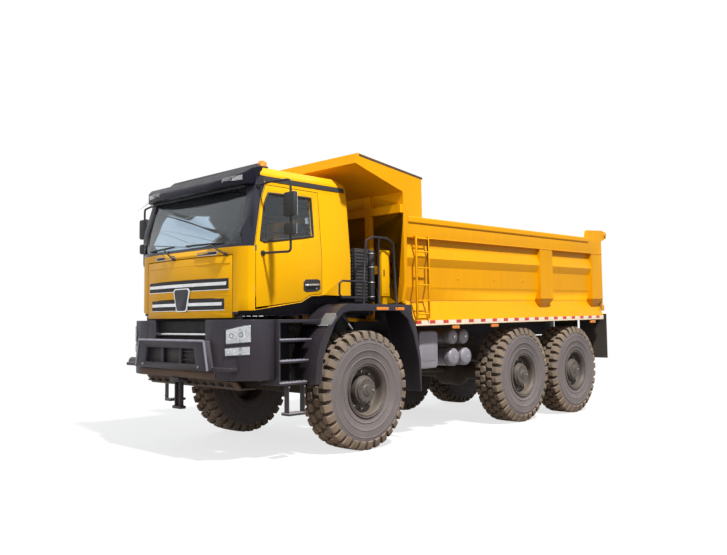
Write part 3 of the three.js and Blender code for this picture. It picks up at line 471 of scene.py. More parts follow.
def outward(sign):
    """The axis name that points away from the truck's middle."""
    return "X" if sign > 0 else "-X"


rim_face = [
    (0.214, 0.345), (0.2165, 0.338), (0.213, 0.330), (0.203, 0.326), (0.203, 0.321), (0.209, 0.318),
    (0.209, 0.309), (0.198, 0.304), (0.190, 0.296), (0.150, 0.288), (0.088, 0.282), (0.074, 0.272),
    (0.064, 0.250), (0.058, 0.200), (0.062, 0.192), (0.088, 0.186), (0.146, 0.181), (0.160, 0.174),
    (0.166, 0.160), (0.171, 0.156), (0.186, 0.154), (0.192, 0.148), (0.195, 0.120), (0.195, 0.078),
    (0.200, 0.072), (0.207, 0.066), (0.210, 0.055), (0.210, 0.0),
]
STUD_CIRCLE, WHEEL_STUDS = 0.232, 10
COVER_CIRCLE, COVER_BOLTS = 0.128, 12
rim_back = [(0.0, 0.0), (0.0, 0.150), (0.020, 0.160), (0.030, 0.262), (-0.190, 0.288), (-0.203, 0.300),
            (-0.213, 0.345), (-0.197, 0.345), (-0.197, 0.319), (0.197, 0.319), (0.197, 0.345)]
for wheel_name in wheels:
    rim = bmesh.new()
    turned(rim, rim_face[::-1] + rim_back[::-1], 64)
    for z, y in circle(STUD_CIRCLE, WHEEL_STUDS):
        knob(rim, (0.058, y, z), 0.021, 0.022, 6, 0)
        knob(rim, (0.078, y, z), 0.011, 0.022, 10, 1, tip=0.8)
    for z, y in circle(COVER_CIRCLE, COVER_BOLTS, 0.5):
        knob(rim, (0.190, y, z), 0.009, 0.012, 6, 0)
    knob(rim, (0.208, 0, 0), 0.030, 0.012, 6, 0)
    knob(rim, (0.196, 0.098, 0), 0.012, 0.012, 6, 1)
    if wheel_name.endswith("right"):
        mirror_x(rim)
    bmesh.ops.translate(rim, verts=rim.verts, vec=centre_of(f"tyre_{wheel_name}"))
    shape(rim, f"dished_rim_{wheel_name}", [rim_black, bright_steel], "rim_paint", f"rim_{wheel_name}",
          smooth=35.0)


# ------------------------------------------------------------ chassis, engine and axles
# A riveted ladder frame of pressed steel in dull grey, with cast axles, leaf springs and
# an iron engine and gearbox hung between the rails.
frame_grey = finish("frame_grey", (0.034, 0.032, 0.036), 0.52, shade=0.7, dust=0.35, reach=2.6, wear=0.6,
                    bare=(0.20, 0.15, 0.11, 1))
casting = finish("casting", (0.030, 0.028, 0.029), 0.74, metallic=0.2, shade=0.7, dust=0.40, reach=2.6,
                 scale=60.0, bump=0.002)


def softened(*nodes, offset=0.005, angle=25.0, segments=2):
    """CAD nodes as one mesh with merged faces and small rounded edges."""
    bm = bmesh.new()
    for node in nodes:
        bm.from_mesh(frame["nodes"][node].data)
    bmesh.ops.remove_doubles(bm, verts=bm.verts, dist=2e-5)
    bmesh.ops.dissolve_limit(bm, angle_limit=math.radians(1.5), verts=bm.verts, edges=bm.edges)
    if offset:
        edges = [edge for edge in bm.edges
                 if len(edge.link_faces) == 2 and edge.calc_length() > 2.2 * offset
                 and edge.calc_face_angle(0) > math.radians(angle)]
        soften_edges(bm, edges, offset, segments)
    for face in bm.faces:
        face.material_index = 0
    return bm


def block(bm, low, high, slot=0, offset=0.004):
    """A bar or plate between two corners, with rounded edges."""
    low, high = Vector(low), Vector(high)
    place = Matrix.Translation((low + high) / 2) @ Matrix.Diagonal((*(high - low), 1))
    made = bmesh.ops.create_cube(bm, size=1.0, matrix=place)
    faces = {face for corner in made["verts"] for face in corner.link_faces}
    for face in faces:
        face.material_index = slot
    soften_edges(bm, list({edge for face in faces for edge in face.edges}), offset)


def slab(bm, outline, axis, low, high, slot=0, offset=0.004):
    """A plate with an outline in [y, z], [x, z] or [x, y], between two places along X, Y or Z."""
    order = {"X": (2, 0, 1), "Y": (0, 2, 1), "Z": (0, 1, 2)}[axis]

    def at(u, v, w):
        return [(u, v, w)[i] for i in order]
    near = [bm.verts.new(at(u, v, low)) for u, v in outline]
    far = [bm.verts.new(at(u, v, high)) for u, v in outline]
    faces = hull(bm, far, near, slot)
    if offset:
        soften_edges(bm, list({edge for face in faces for edge in face.edges}), offset)


def rounded(points, bend, closed=False):
    """A path whose corners are turned into short arcs."""
    points = [Vector(point) for point in points]
    count = len(points)
    path = []
    for i, point in enumerate(points):
        if not closed and i in (0, count - 1):
            path.append(point)
            continue
        before, after = points[i - 1], points[(i + 1) % count]
        reach = min(bend, (before - point).length * 0.45, (after - point).length * 0.45)
        start = point + (before - point).normalized() * reach
        end = point + (after - point).normalized() * reach
        for t in (0.0, 0.25, 0.5, 0.75, 1.0):
            path.append(start.lerp(point, t).lerp(point.lerp(end, t), t))
    return path


def tube(bm, points, radius, sides=10, slot=0, bend=0.0, closed=False, flat=1.0):
    """A bar, pipe or seal along a path, with closed ends; flat squeezes its section."""
    path = rounded(points, bend, closed) if bend else [Vector(point) for point in points]
    count = len(path)
    rings = []
    across = None
    for i, point in enumerate(path):
        before = path[i - 1] if closed or i else point
        after = path[(i + 1) % count] if closed or i < count - 1 else point
        ahead = (after - before).normalized()
        if across is None:
            across = ahead.orthogonal().normalized()
        across = (across - ahead * across.dot(ahead)).normalized()
        upward = ahead.cross(across)
        rings.append([bm.verts.new(point + across * u + upward * flat * v) for u, v in circle(radius, sides)])
    faces = []
    for i in range(count if closed else count - 1):
        ring, following = rings[i], rings[(i + 1) % count]
        for k in range(sides):
            j = (k + 1) % sides
            faces.append(bm.faces.new((ring[k], ring[j], following[j], following[k])))
    if not closed:
        faces += [bm.faces.new(rings[0]), bm.faces.new(rings[-1])]
    face_out(bm, faces, slot)


def row_y(behind):
    """The frame's y for a distance behind the front axle."""
    return AXLE + behind


def plate(bm, x_span, rows, heights, slot=0, offset=0.004, sign=1):
    """A block between two x, two distances behind the front axle and two heights, on one side."""
    x_low, x_high = sorted(sign * x for x in x_span)
    block(bm, (x_low, row_y(rows[0]), heights[0]), (x_high, row_y(rows[1]), heights[1]), slot, offset)


def sided(sign, points):
    """Places on one side of the truck from [x, distance behind the front axle, height]."""
    return [(sign * x, row_y(behind), z) for x, behind, z in points]


def side_slab(bm, sign, x_span, outline, slot=0, offset=0.004):
    """A slab across one side, from an outline of [distance behind the front axle, height]."""
    places = [(row_y(behind), z) for behind, z in outline]
    slab(bm, places, "X", *sorted(sign * x for x in x_span), slot, offset)


RIVET_STEP = 0.15
ladder = softened("chassis_frame", "hoist_mount", "tow_beam", "bed_pivot", offset=0.004)
for sign in (1, -1):
    for behind in [RIVET_STEP * i - 1.45 for i in range(49)]:
        for height in (1.06, 1.26):
            knob(ladder, (sign * 0.470, row_y(behind), height), 0.013, 0.009, 8, 0, outward(sign), 0.7)
for sign in (1, -1):
    for height in (0.87, 0.97):
        knob(ladder, (sign * 0.22, row_y(5.85), height), 0.02, 0.015, 6, 0, "Y")
shape(ladder, "ladder_frame", [frame_grey], "frame_paint", "chassis_frame", "hoist_mount", "tow_beam",
      "bed_pivot", smooth=35.0)

engine = softened("engine_block", "gearbox", offset=0.012)
low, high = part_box("engine_block")
for i in range(6):
    y = low.y + (high.y - low.y) * (i + 0.5) / 6
    block(engine, (low.x + 0.08, y - 0.055, high.z), (high.x - 0.08, y + 0.055, high.z + 0.045), 0, 0.012)
    for x in (low.x + 0.13, high.x - 0.13):
        knob(engine, (x, y, high.z + 0.045), 0.014, 0.014, 6, 0, "Z")
pipe_x, pipe_z = high.x + 0.03, high.z - 0.10
tube(engine, [(pipe_x, low.y + 0.10, pipe_z), (pipe_x, high.y - 0.10, pipe_z)], 0.045, 14)
for i in range(3):
    y = low.y + (high.y - low.y) * (i + 0.6) / 3.4
    tube(engine, [(pipe_x, y, pipe_z), (high.x - 0.02, y, pipe_z)], 0.035, 12)
shape(engine, "engine_and_gearbox", [casting], "cast_iron", "engine_block", "gearbox", smooth=35.0)

for name, node in (("front_beam_axle", "front_axle"), ("middle_drive_axle", "mid_axle"),
                   ("rear_drive_axle", "rear_axle")):
    beam = softened(node, offset=0.008)
    low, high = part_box(node)
    if node != "front_axle":
        for x, z in circle(0.155, 12):
            knob(beam, (x, high.y - 0.004, WHEEL_R + z), 0.012, 0.014, 6, 0, "Y")
    shape(beam, name, [casting], "cast_iron", node, smooth=38.0)
springs = softened("bogie_springs", offset=0.006)
shape(springs, "bogie_leaf_springs", [frame_grey], "frame_paint", "bogie_springs", smooth=35.0)
for side in ("left", "right"):
    knuckle = softened(f"knuckle_{side}", offset=0.006)
    shape(knuckle, f"steering_knuckle_{side}", [casting], "cast_iron", f"knuckle_{side}", smooth=38.0)


# ------------------------------------------------------------ bumper and lamps
# A heavy folded steel bumper in dark blue-grey enamel: a raised plate with a brown lip, its
# edges traced in a pale bluish painted highlight, a chromed bar in the recess over it, and a lamp
# cluster let into each corner. A rubber sleeved bar stands out of its right side.
charcoal = finish("charcoal_enamel", (0.020, 0.018, 0.026), 0.42, shade=0.70, dust=0.10, reach=1.9, wear=0.35,
                  bare=(0.12, 0.11, 0.12, 1), gloss=0.28, tint=(0.85, 0.85, 1, 1))
# Painted highlight: a pale bluish colour that stands in for the sky mirrored on rounded edges.
painted_sky_highlight = finish("painted_sky_highlight", (0.27, 0.27, 0.34), 0.36, metallic=0.2, shade=0.7, dust=0.3)
chrome = finish("chrome_trim", (0.78, 0.79, 0.81), 0.14, metallic=1.0, shade=0.85, dust=0.12, bump=0.0001)
matt_black = finish("matt_black", (0.010, 0.010, 0.011), 0.60, shade=0.7, dust=0.12, reach=1.6)
lamp_silver = finish("lamp_silver", (0.72, 0.74, 0.78), 0.30, metallic=0.45, shade=0.9, dust=0.05)
worn_rubber = finish("worn_rubber", (0.075, 0.082, 0.082), 0.55, shade=0.7, dust=0.15)
skid_brown = finish("skid_brown", (0.075, 0.046, 0.036), 0.75, shade=0.6, dust=0.4, reach=1.6, wear=0.5)


def lens(name, colour, ridges, share=0.85):
    """Clear or coloured lamp plastic, ribbed on its inner side."""
    material, nodes = blank_material(name)
    place = shader(nodes, "TexCoord").outputs["Object"]
    wave = shader(nodes, "TexWave", {"Vector": place, "Scale": ridges}, bands_direction="DIAGONAL")
    rough = math_of(nodes, "MULTIPLY_ADD", noise(nodes, place, 30.0), 0.12, 0.08)
    bumped = shader(nodes, "Bump", {"Height": wave.outputs["Fac"], "Distance": 0.0015, "Strength": 1.0})
    surface = shader(nodes, "BsdfPrincipled", {
        "Base Color": colour, "Roughness": rough, "IOR": 1.46, "Transmission Weight": share,
        "Normal": bumped.outputs[0]})
    shader(nodes, "OutputMaterial", {"Surface": surface.outputs[0]})
    return material


clear_lens = lens("clear_lens", (0.95, 0.97, 1.0, 1), 60.0)
amber = lens("amber_lens", (0.95, 0.30, 0.02, 1), 70.0, share=0.25)
red_lens = lens("red_lens", (0.75, 0.02, 0.01, 1), 70.0, share=0.25)


def finder(*nodes):
    """Casts rays at CAD nodes and returns the place each one meets."""
    bm = bmesh.new()
    for node in nodes:
        bm.from_mesh(frame["nodes"][node].data)
    tree = BVHTree.FromBMesh(bm)
    bm.free()

    def cast(origin, direction):
        place = tree.ray_cast(Vector(origin), Vector(direction))[0]
        return place if place is not None else Vector(origin)
    return cast


def from_front(face, x, z):
    """The place a finder's nodes show at an x and z, as seen from the front."""
    return face((x, FAR_AHEAD, z), (0, 1, 0))


FAR_AHEAD = -6.0                                 # a y ahead of the whole truck
bumper_face = finder("bumper")


def quads(bm, near, far):
    """Faces between two rows of corners."""
    return [bm.faces.new((near[i], far[i], far[i + 1], near[i + 1])) for i in range(len(near) - 1)]


def patch(bm, outer, inner, slot):
    """A thin curved plate between two grids of places."""
    front, back = ([[bm.verts.new(place) for place in line] for line in grid] for grid in (outer, inner))
    faces = []
    for grid in (front, back):
        for line, following in zip(grid, grid[1:]):
            faces += quads(bm, line, following)
    for line, behind in ((front[0], back[0]), (front[-1], back[-1])):
        faces += quads(bm, line, behind)
    for row in (0, -1):
        faces += quads(bm, [line[row] for line in front], [line[row] for line in back])
    face_out(bm, faces, slot)


def draped(bm, columns, rows, lift, slot, depth=0.006):
    """A thin cover over the bumper between column lines [x, low z, high z], lifted off its face."""
    grids = []
    for extra in (lift + depth, lift - 0.004):
        grid = []
        for x, low_z, high_z in columns:
            heights = [low_z + (high_z - low_z) * row / rows for row in range(rows + 1)]
            hits = [from_front(bumper_face, x, z) for z in heights]
            grid.append([hit + Vector((math.copysign(extra * 0.6, x), -extra, 0)) for hit in hits])
        grids.append(grid)
    patch(bm, *grids, slot)


HEADLAMP = ((0.0, 1.000), (0.15, 1.035), (0.35, 1.080), (0.55, 1.120), (0.75, 1.165), (0.9, 1.200),
            (1.0, 1.232))
FOG_LAMP = ((0.0, 0.985), (0.3, 1.050), (0.6, 1.120), (0.85, 1.180), (1.0, 1.225))


def lamp_columns(sign, spots, low_z, high_z, rise, widen=0.0):
    """The column lines of a lamp, which rise outward; widen moves its two ends apart."""
    columns = []
    for share, x in spots:
        x += {0.0: -widen, 1.0: widen}.get(share, 0.0)
        columns.append((sign * x, low_z + rise[0] * share, high_z + rise[1] * share))
    return columns


def lamp_bowl(sign, x, z):
    """A placed Z axis that stands out of the bumper's corner."""
    hit = from_front(bumper_face, sign * x, z) + Vector((sign * 0.002, -0.004, 0))
    turn = Matrix.Rotation(sign * 0.50, 4, "Z") @ Matrix.Rotation(math.pi / 2, 4, "X")
    return Matrix.Translation(hit) @ turn


bumper = softened("bumper", "tow_bracket", offset=0.008)
low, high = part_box("bumper")
for corner in bumper.verts:                      # the recess over the raised plate is set back
    if abs(corner.co.y - row_y(-1.790)) < 0.010 and abs(corner.co.x) < 0.625 and corner.co.z > 1.395:
        corner.co.y += 0.080
plate(bumper, (-1.05, 1.05), (-1.665, -1.650), (1.615, 1.697), 3, 0.003)
edge_y = low.y + 0.004
top_left, top_right, foot_left, foot_right = (0.722, 1.400), (-0.722, 1.400), (0.800, 1.062), (-0.800, 1.062)
# Tubes in the painted sky highlight trace the raised plate's top and sloping sides.
for start, end in ((top_right, top_left), (top_left, foot_left), (top_right, foot_right)):
    tube(bumper, [(start[0], edge_y, start[1]), (end[0], edge_y, end[1])], 0.014, 10, 1)
tube(bumper, [(-0.60, row_y(-1.765), 1.467), (0.60, row_y(-1.765), 1.467)], 0.021, 16, 2)
for x in (-0.58, 0.58):
    plate(bumper, (x - 0.02, x + 0.02), (-1.76, -1.70), (1.44, 1.49), 0)
plate(bumper, (-0.612, 0.612), (-1.724, -1.716), (1.408, 1.632), 3, 0.002)
for i in range(13):
    z = 1.425 + 0.016 * i
    plate(bumper, (-0.60, 0.60), (-1.732, -1.722), (z, z + 0.007), 3, 0.002)
for x in (-0.20, 0.20):
    block(bumper, (x - 0.030, low.y + 0.025, 1.125), (x + 0.030, low.y + 0.085, 1.315), 0)
for z in (1.165, 1.215, 1.265):
    block(bumper, (0.20, low.y + 0.045, z), (0.545, low.y + 0.080, z + 0.016), 3, 0.003)
for sign in (1, -1):
    x_low, x_high = sorted((sign * 0.845, sign * 0.955))
    for i in range(7):
        z = 1.215 + 0.034 * i
        block(bumper, (x_low, low.y + 0.115, z), (x_high, low.y + 0.140, z + 0.014), 3, 0.003)
    knob(bumper, (sign * 0.62, low.y + 0.001, 1.10), 0.015, 0.010, 6, 1, "-Y")
block(bumper, (-0.545, low.y + 0.068, 1.135), (0.545, low.y + 0.076, 1.305), 3, 0.002)
plate(bumper, (-0.98, 0.98), (-1.62, -1.40), (0.83, 0.850), 4, 0.006)
side_slab(bumper, 1, (-0.98, 0.98), [(-1.70, 0.93), (-1.62, 0.83), (-1.60, 0.84), (-1.67, 0.93)], 4)
for i in range(11):
    x = -0.93 + 0.17 * i
    plate(bumper, (x, x + 0.10), (-1.705, -1.655), (0.862, 0.882), 3, 0.003)
for sign in (1, -1):
    draped(bumper, lamp_columns(sign, HEADLAMP, 1.372, 1.520, (0.020, 0.055)), 4, 0.000, 5, 0.003)
    draped(bumper, lamp_columns(sign, FOG_LAMP, 1.238, 1.312, (0.012, 0.022)), 2, 0.000, 5, 0.003)
    for x, z, radius in ((1.055, 1.458, 0.052), (1.160, 1.470, 0.050)):
        for share, height, slot in ((1.0, 0.004, 2), (0.62, 0.007, 3), (0.42, 0.010, 2)):
            cone(bumper, lamp_bowl(sign, x, z), radius * share, radius * share * 0.94, height, 28, slot)
    for x in (1.02, 1.09, 1.16):
        cone(bumper, lamp_bowl(sign, x, 1.28), 0.026, 0.022, 0.006, 20, 2)
plate(bumper, (-0.835, 0.835), (-1.873, -1.867), (0.960, 1.052), 4, 0.002)
shape(bumper, "folded_bumper", [charcoal, painted_sky_highlight, chrome, matt_black, skid_brown, lamp_silver],
      "charcoal_paint", "bumper", "tow_bracket", smooth=32.0)
covers = bmesh.new()
for sign in (1, -1):
    draped(covers, lamp_columns(sign, HEADLAMP, 1.366, 1.526, (0.020, 0.055), 0.004), 4, 0.010, 0, 0.002)
    draped(covers, lamp_columns(sign, FOG_LAMP, 1.234, 1.316, (0.012, 0.022), 0.004), 2, 0.010, 0, 0.002)
shape(covers, "headlamp_covers", [clear_lens], "lamp_glass", smooth=50.0)

buffer_bar = bmesh.new()
low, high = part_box("side_bar")
middle = centre_of("side_bar")
sleeve = [(0.0, 0.0), (0.0, 0.045), (0.06, 0.045), (0.062, 0.058), (0.49, 0.058), (0.505, 0.050),
          (0.508, 0.0)]
turned(buffer_bar, sleeve[::-1], 32)
mirror_x(buffer_bar)
bmesh.ops.translate(buffer_bar, verts=buffer_bar.verts, vec=(high.x, middle.y, middle.z))
shape(buffer_bar, "buffer_bar", [worn_rubber], "black_rubber", "side_bar")


# ------------------------------------------------------------ steps and fenders
# Folded boarding steps with punched treads whose edges, dimples and bolts carry the painted sky
# highlight, and pressed fenders that carry a tubular handrail and a grab loop, all in the bumper's enamel.
for side, sign in (("left", 1), ("right", -1)):
    ladderway = softened(f"steps_{side}", offset=0.004)
    for top, back in ((1.414, -0.870), (1.171, -0.920), (0.920, -0.945)):
        # Edge strips and dimples in the painted sky highlight.
        plate(ladderway, (1.03, 1.352), (-1.352, -1.338), (top - 0.012, top + 0.003), 1, 0.002, sign)
        plate(ladderway, (1.340, 1.353), (-1.345, back), (top - 0.014, top + 0.003), 1, 0.002, sign)
        for i in range(8):
            for k in range(3):
                x, y = sign * (1.09 + 0.095 * k), row_y(-1.30 + 0.052 * i)
                knob(ladderway, (x, y, top - 0.002), 0.013, 0.006, 8, 1, "Z", 0.7)
    plate(ladderway, (1.20, 1.342), (-1.215, -0.963), (0.552, 0.563), 1, 0.002, sign)
    for behind in (-1.207, -0.971):
        for height in (0.60, 0.86):
            knob(ladderway, (sign * 1.335, row_y(behind), height), 0.009, 0.008, 6, 1, outward(sign))
    shape(ladderway, f"boarding_steps_{side}", [charcoal, painted_sky_highlight], "charcoal_paint", f"steps_{side}",
          smooth=32.0)

    fender = softened(f"fender_{side}", offset=0.004, angle=28.0)
    lamp = [(-0.745, 1.560), (-0.600, 1.715), (-0.585, 1.665), (-0.665, 1.575)]
    side_slab(fender, sign, (1.30, 1.484), lamp, 1)
    tube(fender, sided(sign, [(1.2, -0.234, 1.700), (1.2, -0.055, 1.511)]), 0.020, 14, 2)
    tube(fender, sided(sign, [(1.2, -0.234, 1.700), (1.2, -0.13, 1.591)]), 0.030, 14, 0)
    for behind in (-0.30, 0.10, 0.50):
        knob(fender, (sign * 1.483, row_y(behind), 1.785), 0.012, 0.007, 8, 0, outward(sign), 0.7)
    for behind in (-0.045, 0.575, 0.24, -0.02):
        knob(fender, (sign * 1.40, row_y(behind), 1.829), 0.036, 0.010, 20, 0, "Z")
    shape(fender, f"pressed_fender_{side}", [charcoal, clear_lens, bright_steel], "charcoal_paint",
          f"fender_{side}", smooth=32.0)
    markers = bmesh.new()
    for rows in ((0.113, 0.336), (0.471, 0.640)):
        plate(markers, (1.476, 1.486), rows, (1.752, 1.790), 0, 0.004, sign)
    shape(markers, f"side_markers_{side}", [amber], "amber_lens")


# ------------------------------------------------------------ cab
# A pressed and welded steel cab in yellow enamel, trimmed inside with grey board, with a
# gloss black surround round the windscreen, rubber sealed glass and side hung doors.
yellow = finish("yellow_enamel", (0.71, 0.360, 0.002), 0.38, shade=0.95, dust=0.08, reach=1.3, wear=0.10,
                bare=(0.10, 0.07, 0.05, 1), bump=0.0003, gloss=0.5, tint=(1, 0.55, 0.10, 1))
gloss_black = finish("gloss_black", (0.022, 0.022, 0.031), 0.20, shade=0.7, dust=0.10, reach=1.3, bump=0.0002,
                     gloss=0.35, tint=(0.75, 0.80, 1, 1))
trim_grey = finish("trim_grey", (0.11, 0.11, 0.115), 0.82, shade=0.8, dust=0.15, scale=400.0)
seal_rubber = finish("seal_rubber", (0.010, 0.010, 0.011), 0.70, shade=0.8, dust=0.3, reach=1.3)
soft_plastic = finish("soft_plastic", (0.030, 0.030, 0.033), 0.66, shade=0.8, dust=0.15, scale=500.0,
                      bump=0.0005)

tinted_glass, tree = blank_material("tinted_glass")
spot = shader(tree, "TexCoord").outputs["Object"]
smear = noise(tree, spot, 3.0, 6.0)
haze = product(tree, smear, 0.05)
wavy = shader(tree, "Bump", {"Height": smear, "Distance": 0.0004, "Strength": 0.2})
pane = shader(tree, "BsdfPrincipled", {
    "Base Color": (0.62, 0.72, 0.80, 1), "Roughness": haze, "IOR": 1.45,
    "Transmission Weight": 1.0, "Normal": wavy.outputs[0]})
shader(tree, "OutputMaterial", {"Surface": pane.outputs[0]})

cab_face = finder("cab_shell", "windscreen", "door_left", "door_right", "grille_flap", "door_glass_left",
                  "door_glass_right")


def on_front(x, z, lift=0.0):
    """The place on the cab's front at an x and z, lifted off it."""
    return from_front(cab_face, x, z) + Vector((0, -lift, 0))


def on_side(sign, y, z, lift=0.0):
    """The place on one side of the cab at a y and z, lifted off it."""
    return cab_face((sign * 3.0, y, z), (-sign, 0, 0)) + Vector((sign * lift, 0, 0))


def along(points, step=0.08):
    """More places along a path, at most a step apart."""
    path = []
    for start, end in zip(points, points[1:]):
        start, end = Vector(start), Vector(end)
        count = max(1, math.ceil((end - start).length / step))
        path += [start.lerp(end, i / count) for i in range(count)]
    return path + [Vector(points[-1])]


shell = softened("cab_shell", offset=0.005, angle=24.0)
pillar_line = [(-1.600, 2.478), (-1.595, 2.482), (-1.462, 3.058), (-1.392, 3.210), (-1.392, 3.325)]
sill_line = [(-1.850, 1.712), (-1.690, 1.733), (-0.902, 1.843), (-0.742, 1.923), (-0.060, 1.940)]


def height_on(line, value, key, other):
    """The matching value of a rising line at a place."""
    for start, end in zip(line, line[1:]):
        if start[key] <= value <= end[key]:
            share = (value - start[key]) / max(end[key] - start[key], 1e-6)
            return start[other] + (end[other] - start[other]) * share
    return line[0][other] if value < line[0][key] else line[-1][other]


PILLAR_FOOT, PILLAR_TOP = 2.478, 3.325           # the black surround's heights beside the windscreen
cuts = [((0, 0, PILLAR_FOOT), (0, 0, 1)), ((0, 0, PILLAR_TOP), (0, 0, 1))]
for line in (pillar_line[1:], sill_line):
    for start, end in zip(line, line[1:]):
        cuts.append(((0, row_y(start[0]), start[1]), (0, start[1] - end[1], end[0] - start[0])))
for place, normal in cuts:
    every = shell.verts[:] + shell.edges[:] + shell.faces[:]
    bmesh.ops.bisect_plane(shell, geom=every, plane_co=place, plane_no=normal)
low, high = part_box("cab_shell")
core = Vector((0, (low.y + high.y) / 2, 2.50))
for face in shell.faces:
    spot = face.calc_center_median()
    behind = spot.y - AXLE
    if face.normal.dot(spot - core) < 0.02 and abs(spot.x) < high.x - 0.03 and spot.y > low.y + 0.15:
        face.material_index = 1
    elif PILLAR_FOOT < spot.z < PILLAR_TOP and behind < height_on(pillar_line, spot.z, 1, 0):
        face.material_index = 2
    elif spot.z < height_on(sill_line, behind, 0, 1):
        face.material_index = 3
shape(shell, "pressed_cab", [yellow, trim_grey, gloss_black, charcoal], "yellow_paint", "cab_shell",
      smooth=30.0)

trim = bmesh.new()
screen_edge = [(-1.075, 2.520), (1.075, 2.520), (1.010, 3.195), (-1.010, 3.195), (-1.075, 2.520)]
seal = [on_front(p.x, p.y) for p in along([(x, z, 0) for x, z in screen_edge], 0.12)[:-1]]
tube(trim, seal, 0.013, 8, 0, closed=True)
low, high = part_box("rear_glass")
frame_corners = [(low.x, low.z), (high.x, low.z), (high.x, high.z), (low.x, high.z)]
tube(trim, [(x, high.y + 0.02, z) for x, z in frame_corners], 0.012, 8, 0, bend=0.05, closed=True)
gutter = [[(row_y(behind), z) for z in (3.262, 3.290, 3.320)]
          for behind in (-1.39, -1.20, -0.90, -0.60, -0.30, -0.10)]
for sign in (1, -1):
    grids = [[[on_side(sign, y, z, lift) for y, z in line] for line in gutter] for lift in (0.010, -0.004)]
    patch(trim, *grids, 0)
for x0, x1 in ((-0.66, -0.19), (0.31, 0.68)):    # two dark ovals with a bright rim
    reach = (x1 - x0) / 2 - 0.02
    oval = [((x0 + x1) / 2 + math.copysign(reach, u) + u, 2.424 + v) for u, v in circle(0.02, 20)]
    ring = [on_front(x, z, 0.002) for x, z in oval]
    tube(trim, ring, 0.005, 6, 1, closed=True)
    inner = [trim.verts.new(p + Vector((0, -0.001, 0))) for p in ring]
    outer = [trim.verts.new(p + Vector((0, 0.006, 0))) for p in ring]
    hull(trim, inner, outer)
for x, z in ((-0.196, 2.400), (0.837, 2.400)):
    knob(trim, on_front(x, z, -0.004), 0.024, 0.030, 16, 0, "-Y", 0.8)
wipers = (((-0.196, 2.400), (-0.50, 2.548), (-0.860, 2.536), (-0.300, 2.562)),
          ((0.837, 2.400), (0.520, 2.540), (-0.022, 2.552), (0.760, 2.536)))
for pivot, elbow, tip_from, tip_to in wipers:
    start, bend = on_front(*pivot, 0.024), on_front(*elbow, 0.040)
    tube(trim, [start, start.lerp(bend, 0.5) + Vector((0, -0.012, 0)), bend], 0.010, 8, 0, flat=0.7)
    a, b = on_front(*tip_from, 0.016), on_front(*tip_to, 0.016)
    blade = [on_front(a.x + (b.x - a.x) * i / 6, a.z + (b.z - a.z) * i / 6, 0.014) for i in range(7)]
    tube(trim, blade, 0.010, 6, 0)
    tube(trim, [point + Vector((0, -0.012, 0.004)) for point in blade[1:-1]], 0.006, 6, 0)
shape(trim, "seals_gutters_and_wipers", [seal_rubber, bright_steel], "black_rubber")

glazing = softened("windscreen", offset=0.0)
shape(glazing, "laminated_windscreen", [tinted_glass], "cab_glass", "windscreen", smooth=30.0)
glazing = softened("rear_glass", offset=0.002)
shape(glazing, "rear_window", [tinted_glass], "cab_glass", "rear_glass", smooth=30.0)

door_window = [(-0.700, 2.660), (-0.700, 3.120), (-1.340, 3.105), (-1.400, 2.980), (-1.490, 2.560),
               (-1.440, 2.545)]
pocket = [(-0.865, 1.985), (-0.820, 1.965), (-0.640, 1.980), (-0.590, 2.010), (-0.595, 2.115),
          (-0.640, 2.130), (-0.830, 2.120), (-0.865, 2.085)]
grip = [(1.204, -0.84, 2.050), (1.226, -0.82, 2.052), (1.226, -0.64, 2.062), (1.204, -0.62, 2.063)]
for side, sign in (("left", 1), ("right", -1)):
    leaf = softened(f"door_{side}", offset=0.004, angle=24.0)
    for face in leaf.faces:
        spot = face.calc_center_median()
        if sign * face.normal.x < -0.5 or sign * spot.x < 1.10:
            face.material_index = 1
    middle = Vector((0, -1.12, 2.83))
    corners = [Vector((0, y, z)) for y, z in door_window]
    wider = [corner + (corner - middle).normalized() * 0.013 for corner in corners]
    loop = along(wider + wider[:1], 0.10)[:-1]
    tube(leaf, [on_side(sign, row_y(p.y), p.z, 0.001) for p in loop], 0.015, 8, 2, closed=True)
    side_slab(leaf, sign, (1.192, 1.203), pocket, 2, 0.003)
    tube(leaf, sided(sign, grip), 0.014, 10, 3, bend=0.015)
    knob(leaf, (sign * 1.202, row_y(-0.66), 2.015), 0.011, 0.006, 14, 3, outward(sign))
    plate(leaf, (1.118, 1.142), (-1.30, -0.75), (2.32, 2.44), 4, 0.010, sign)
    plate(leaf, (1.118, 1.142), (-1.20, -0.80), (1.98, 2.12), 4, 0.010, sign)
    for height in (1.95, 2.42):
        knob(leaf, (sign * 1.185, row_y(-1.573), height), 0.014, 0.07, 12, 1, "Z")
    shape(leaf, f"pressed_door_{side}", [yellow, trim_grey, seal_rubber, bright_steel, soft_plastic],
          "yellow_paint", f"door_{side}", smooth=30.0)
    glazing = softened(f"door_glass_{side}", offset=0.0)
    shape(glazing, f"side_window_{side}", [tinted_glass], "cab_glass", f"door_glass_{side}", smooth=30.0)


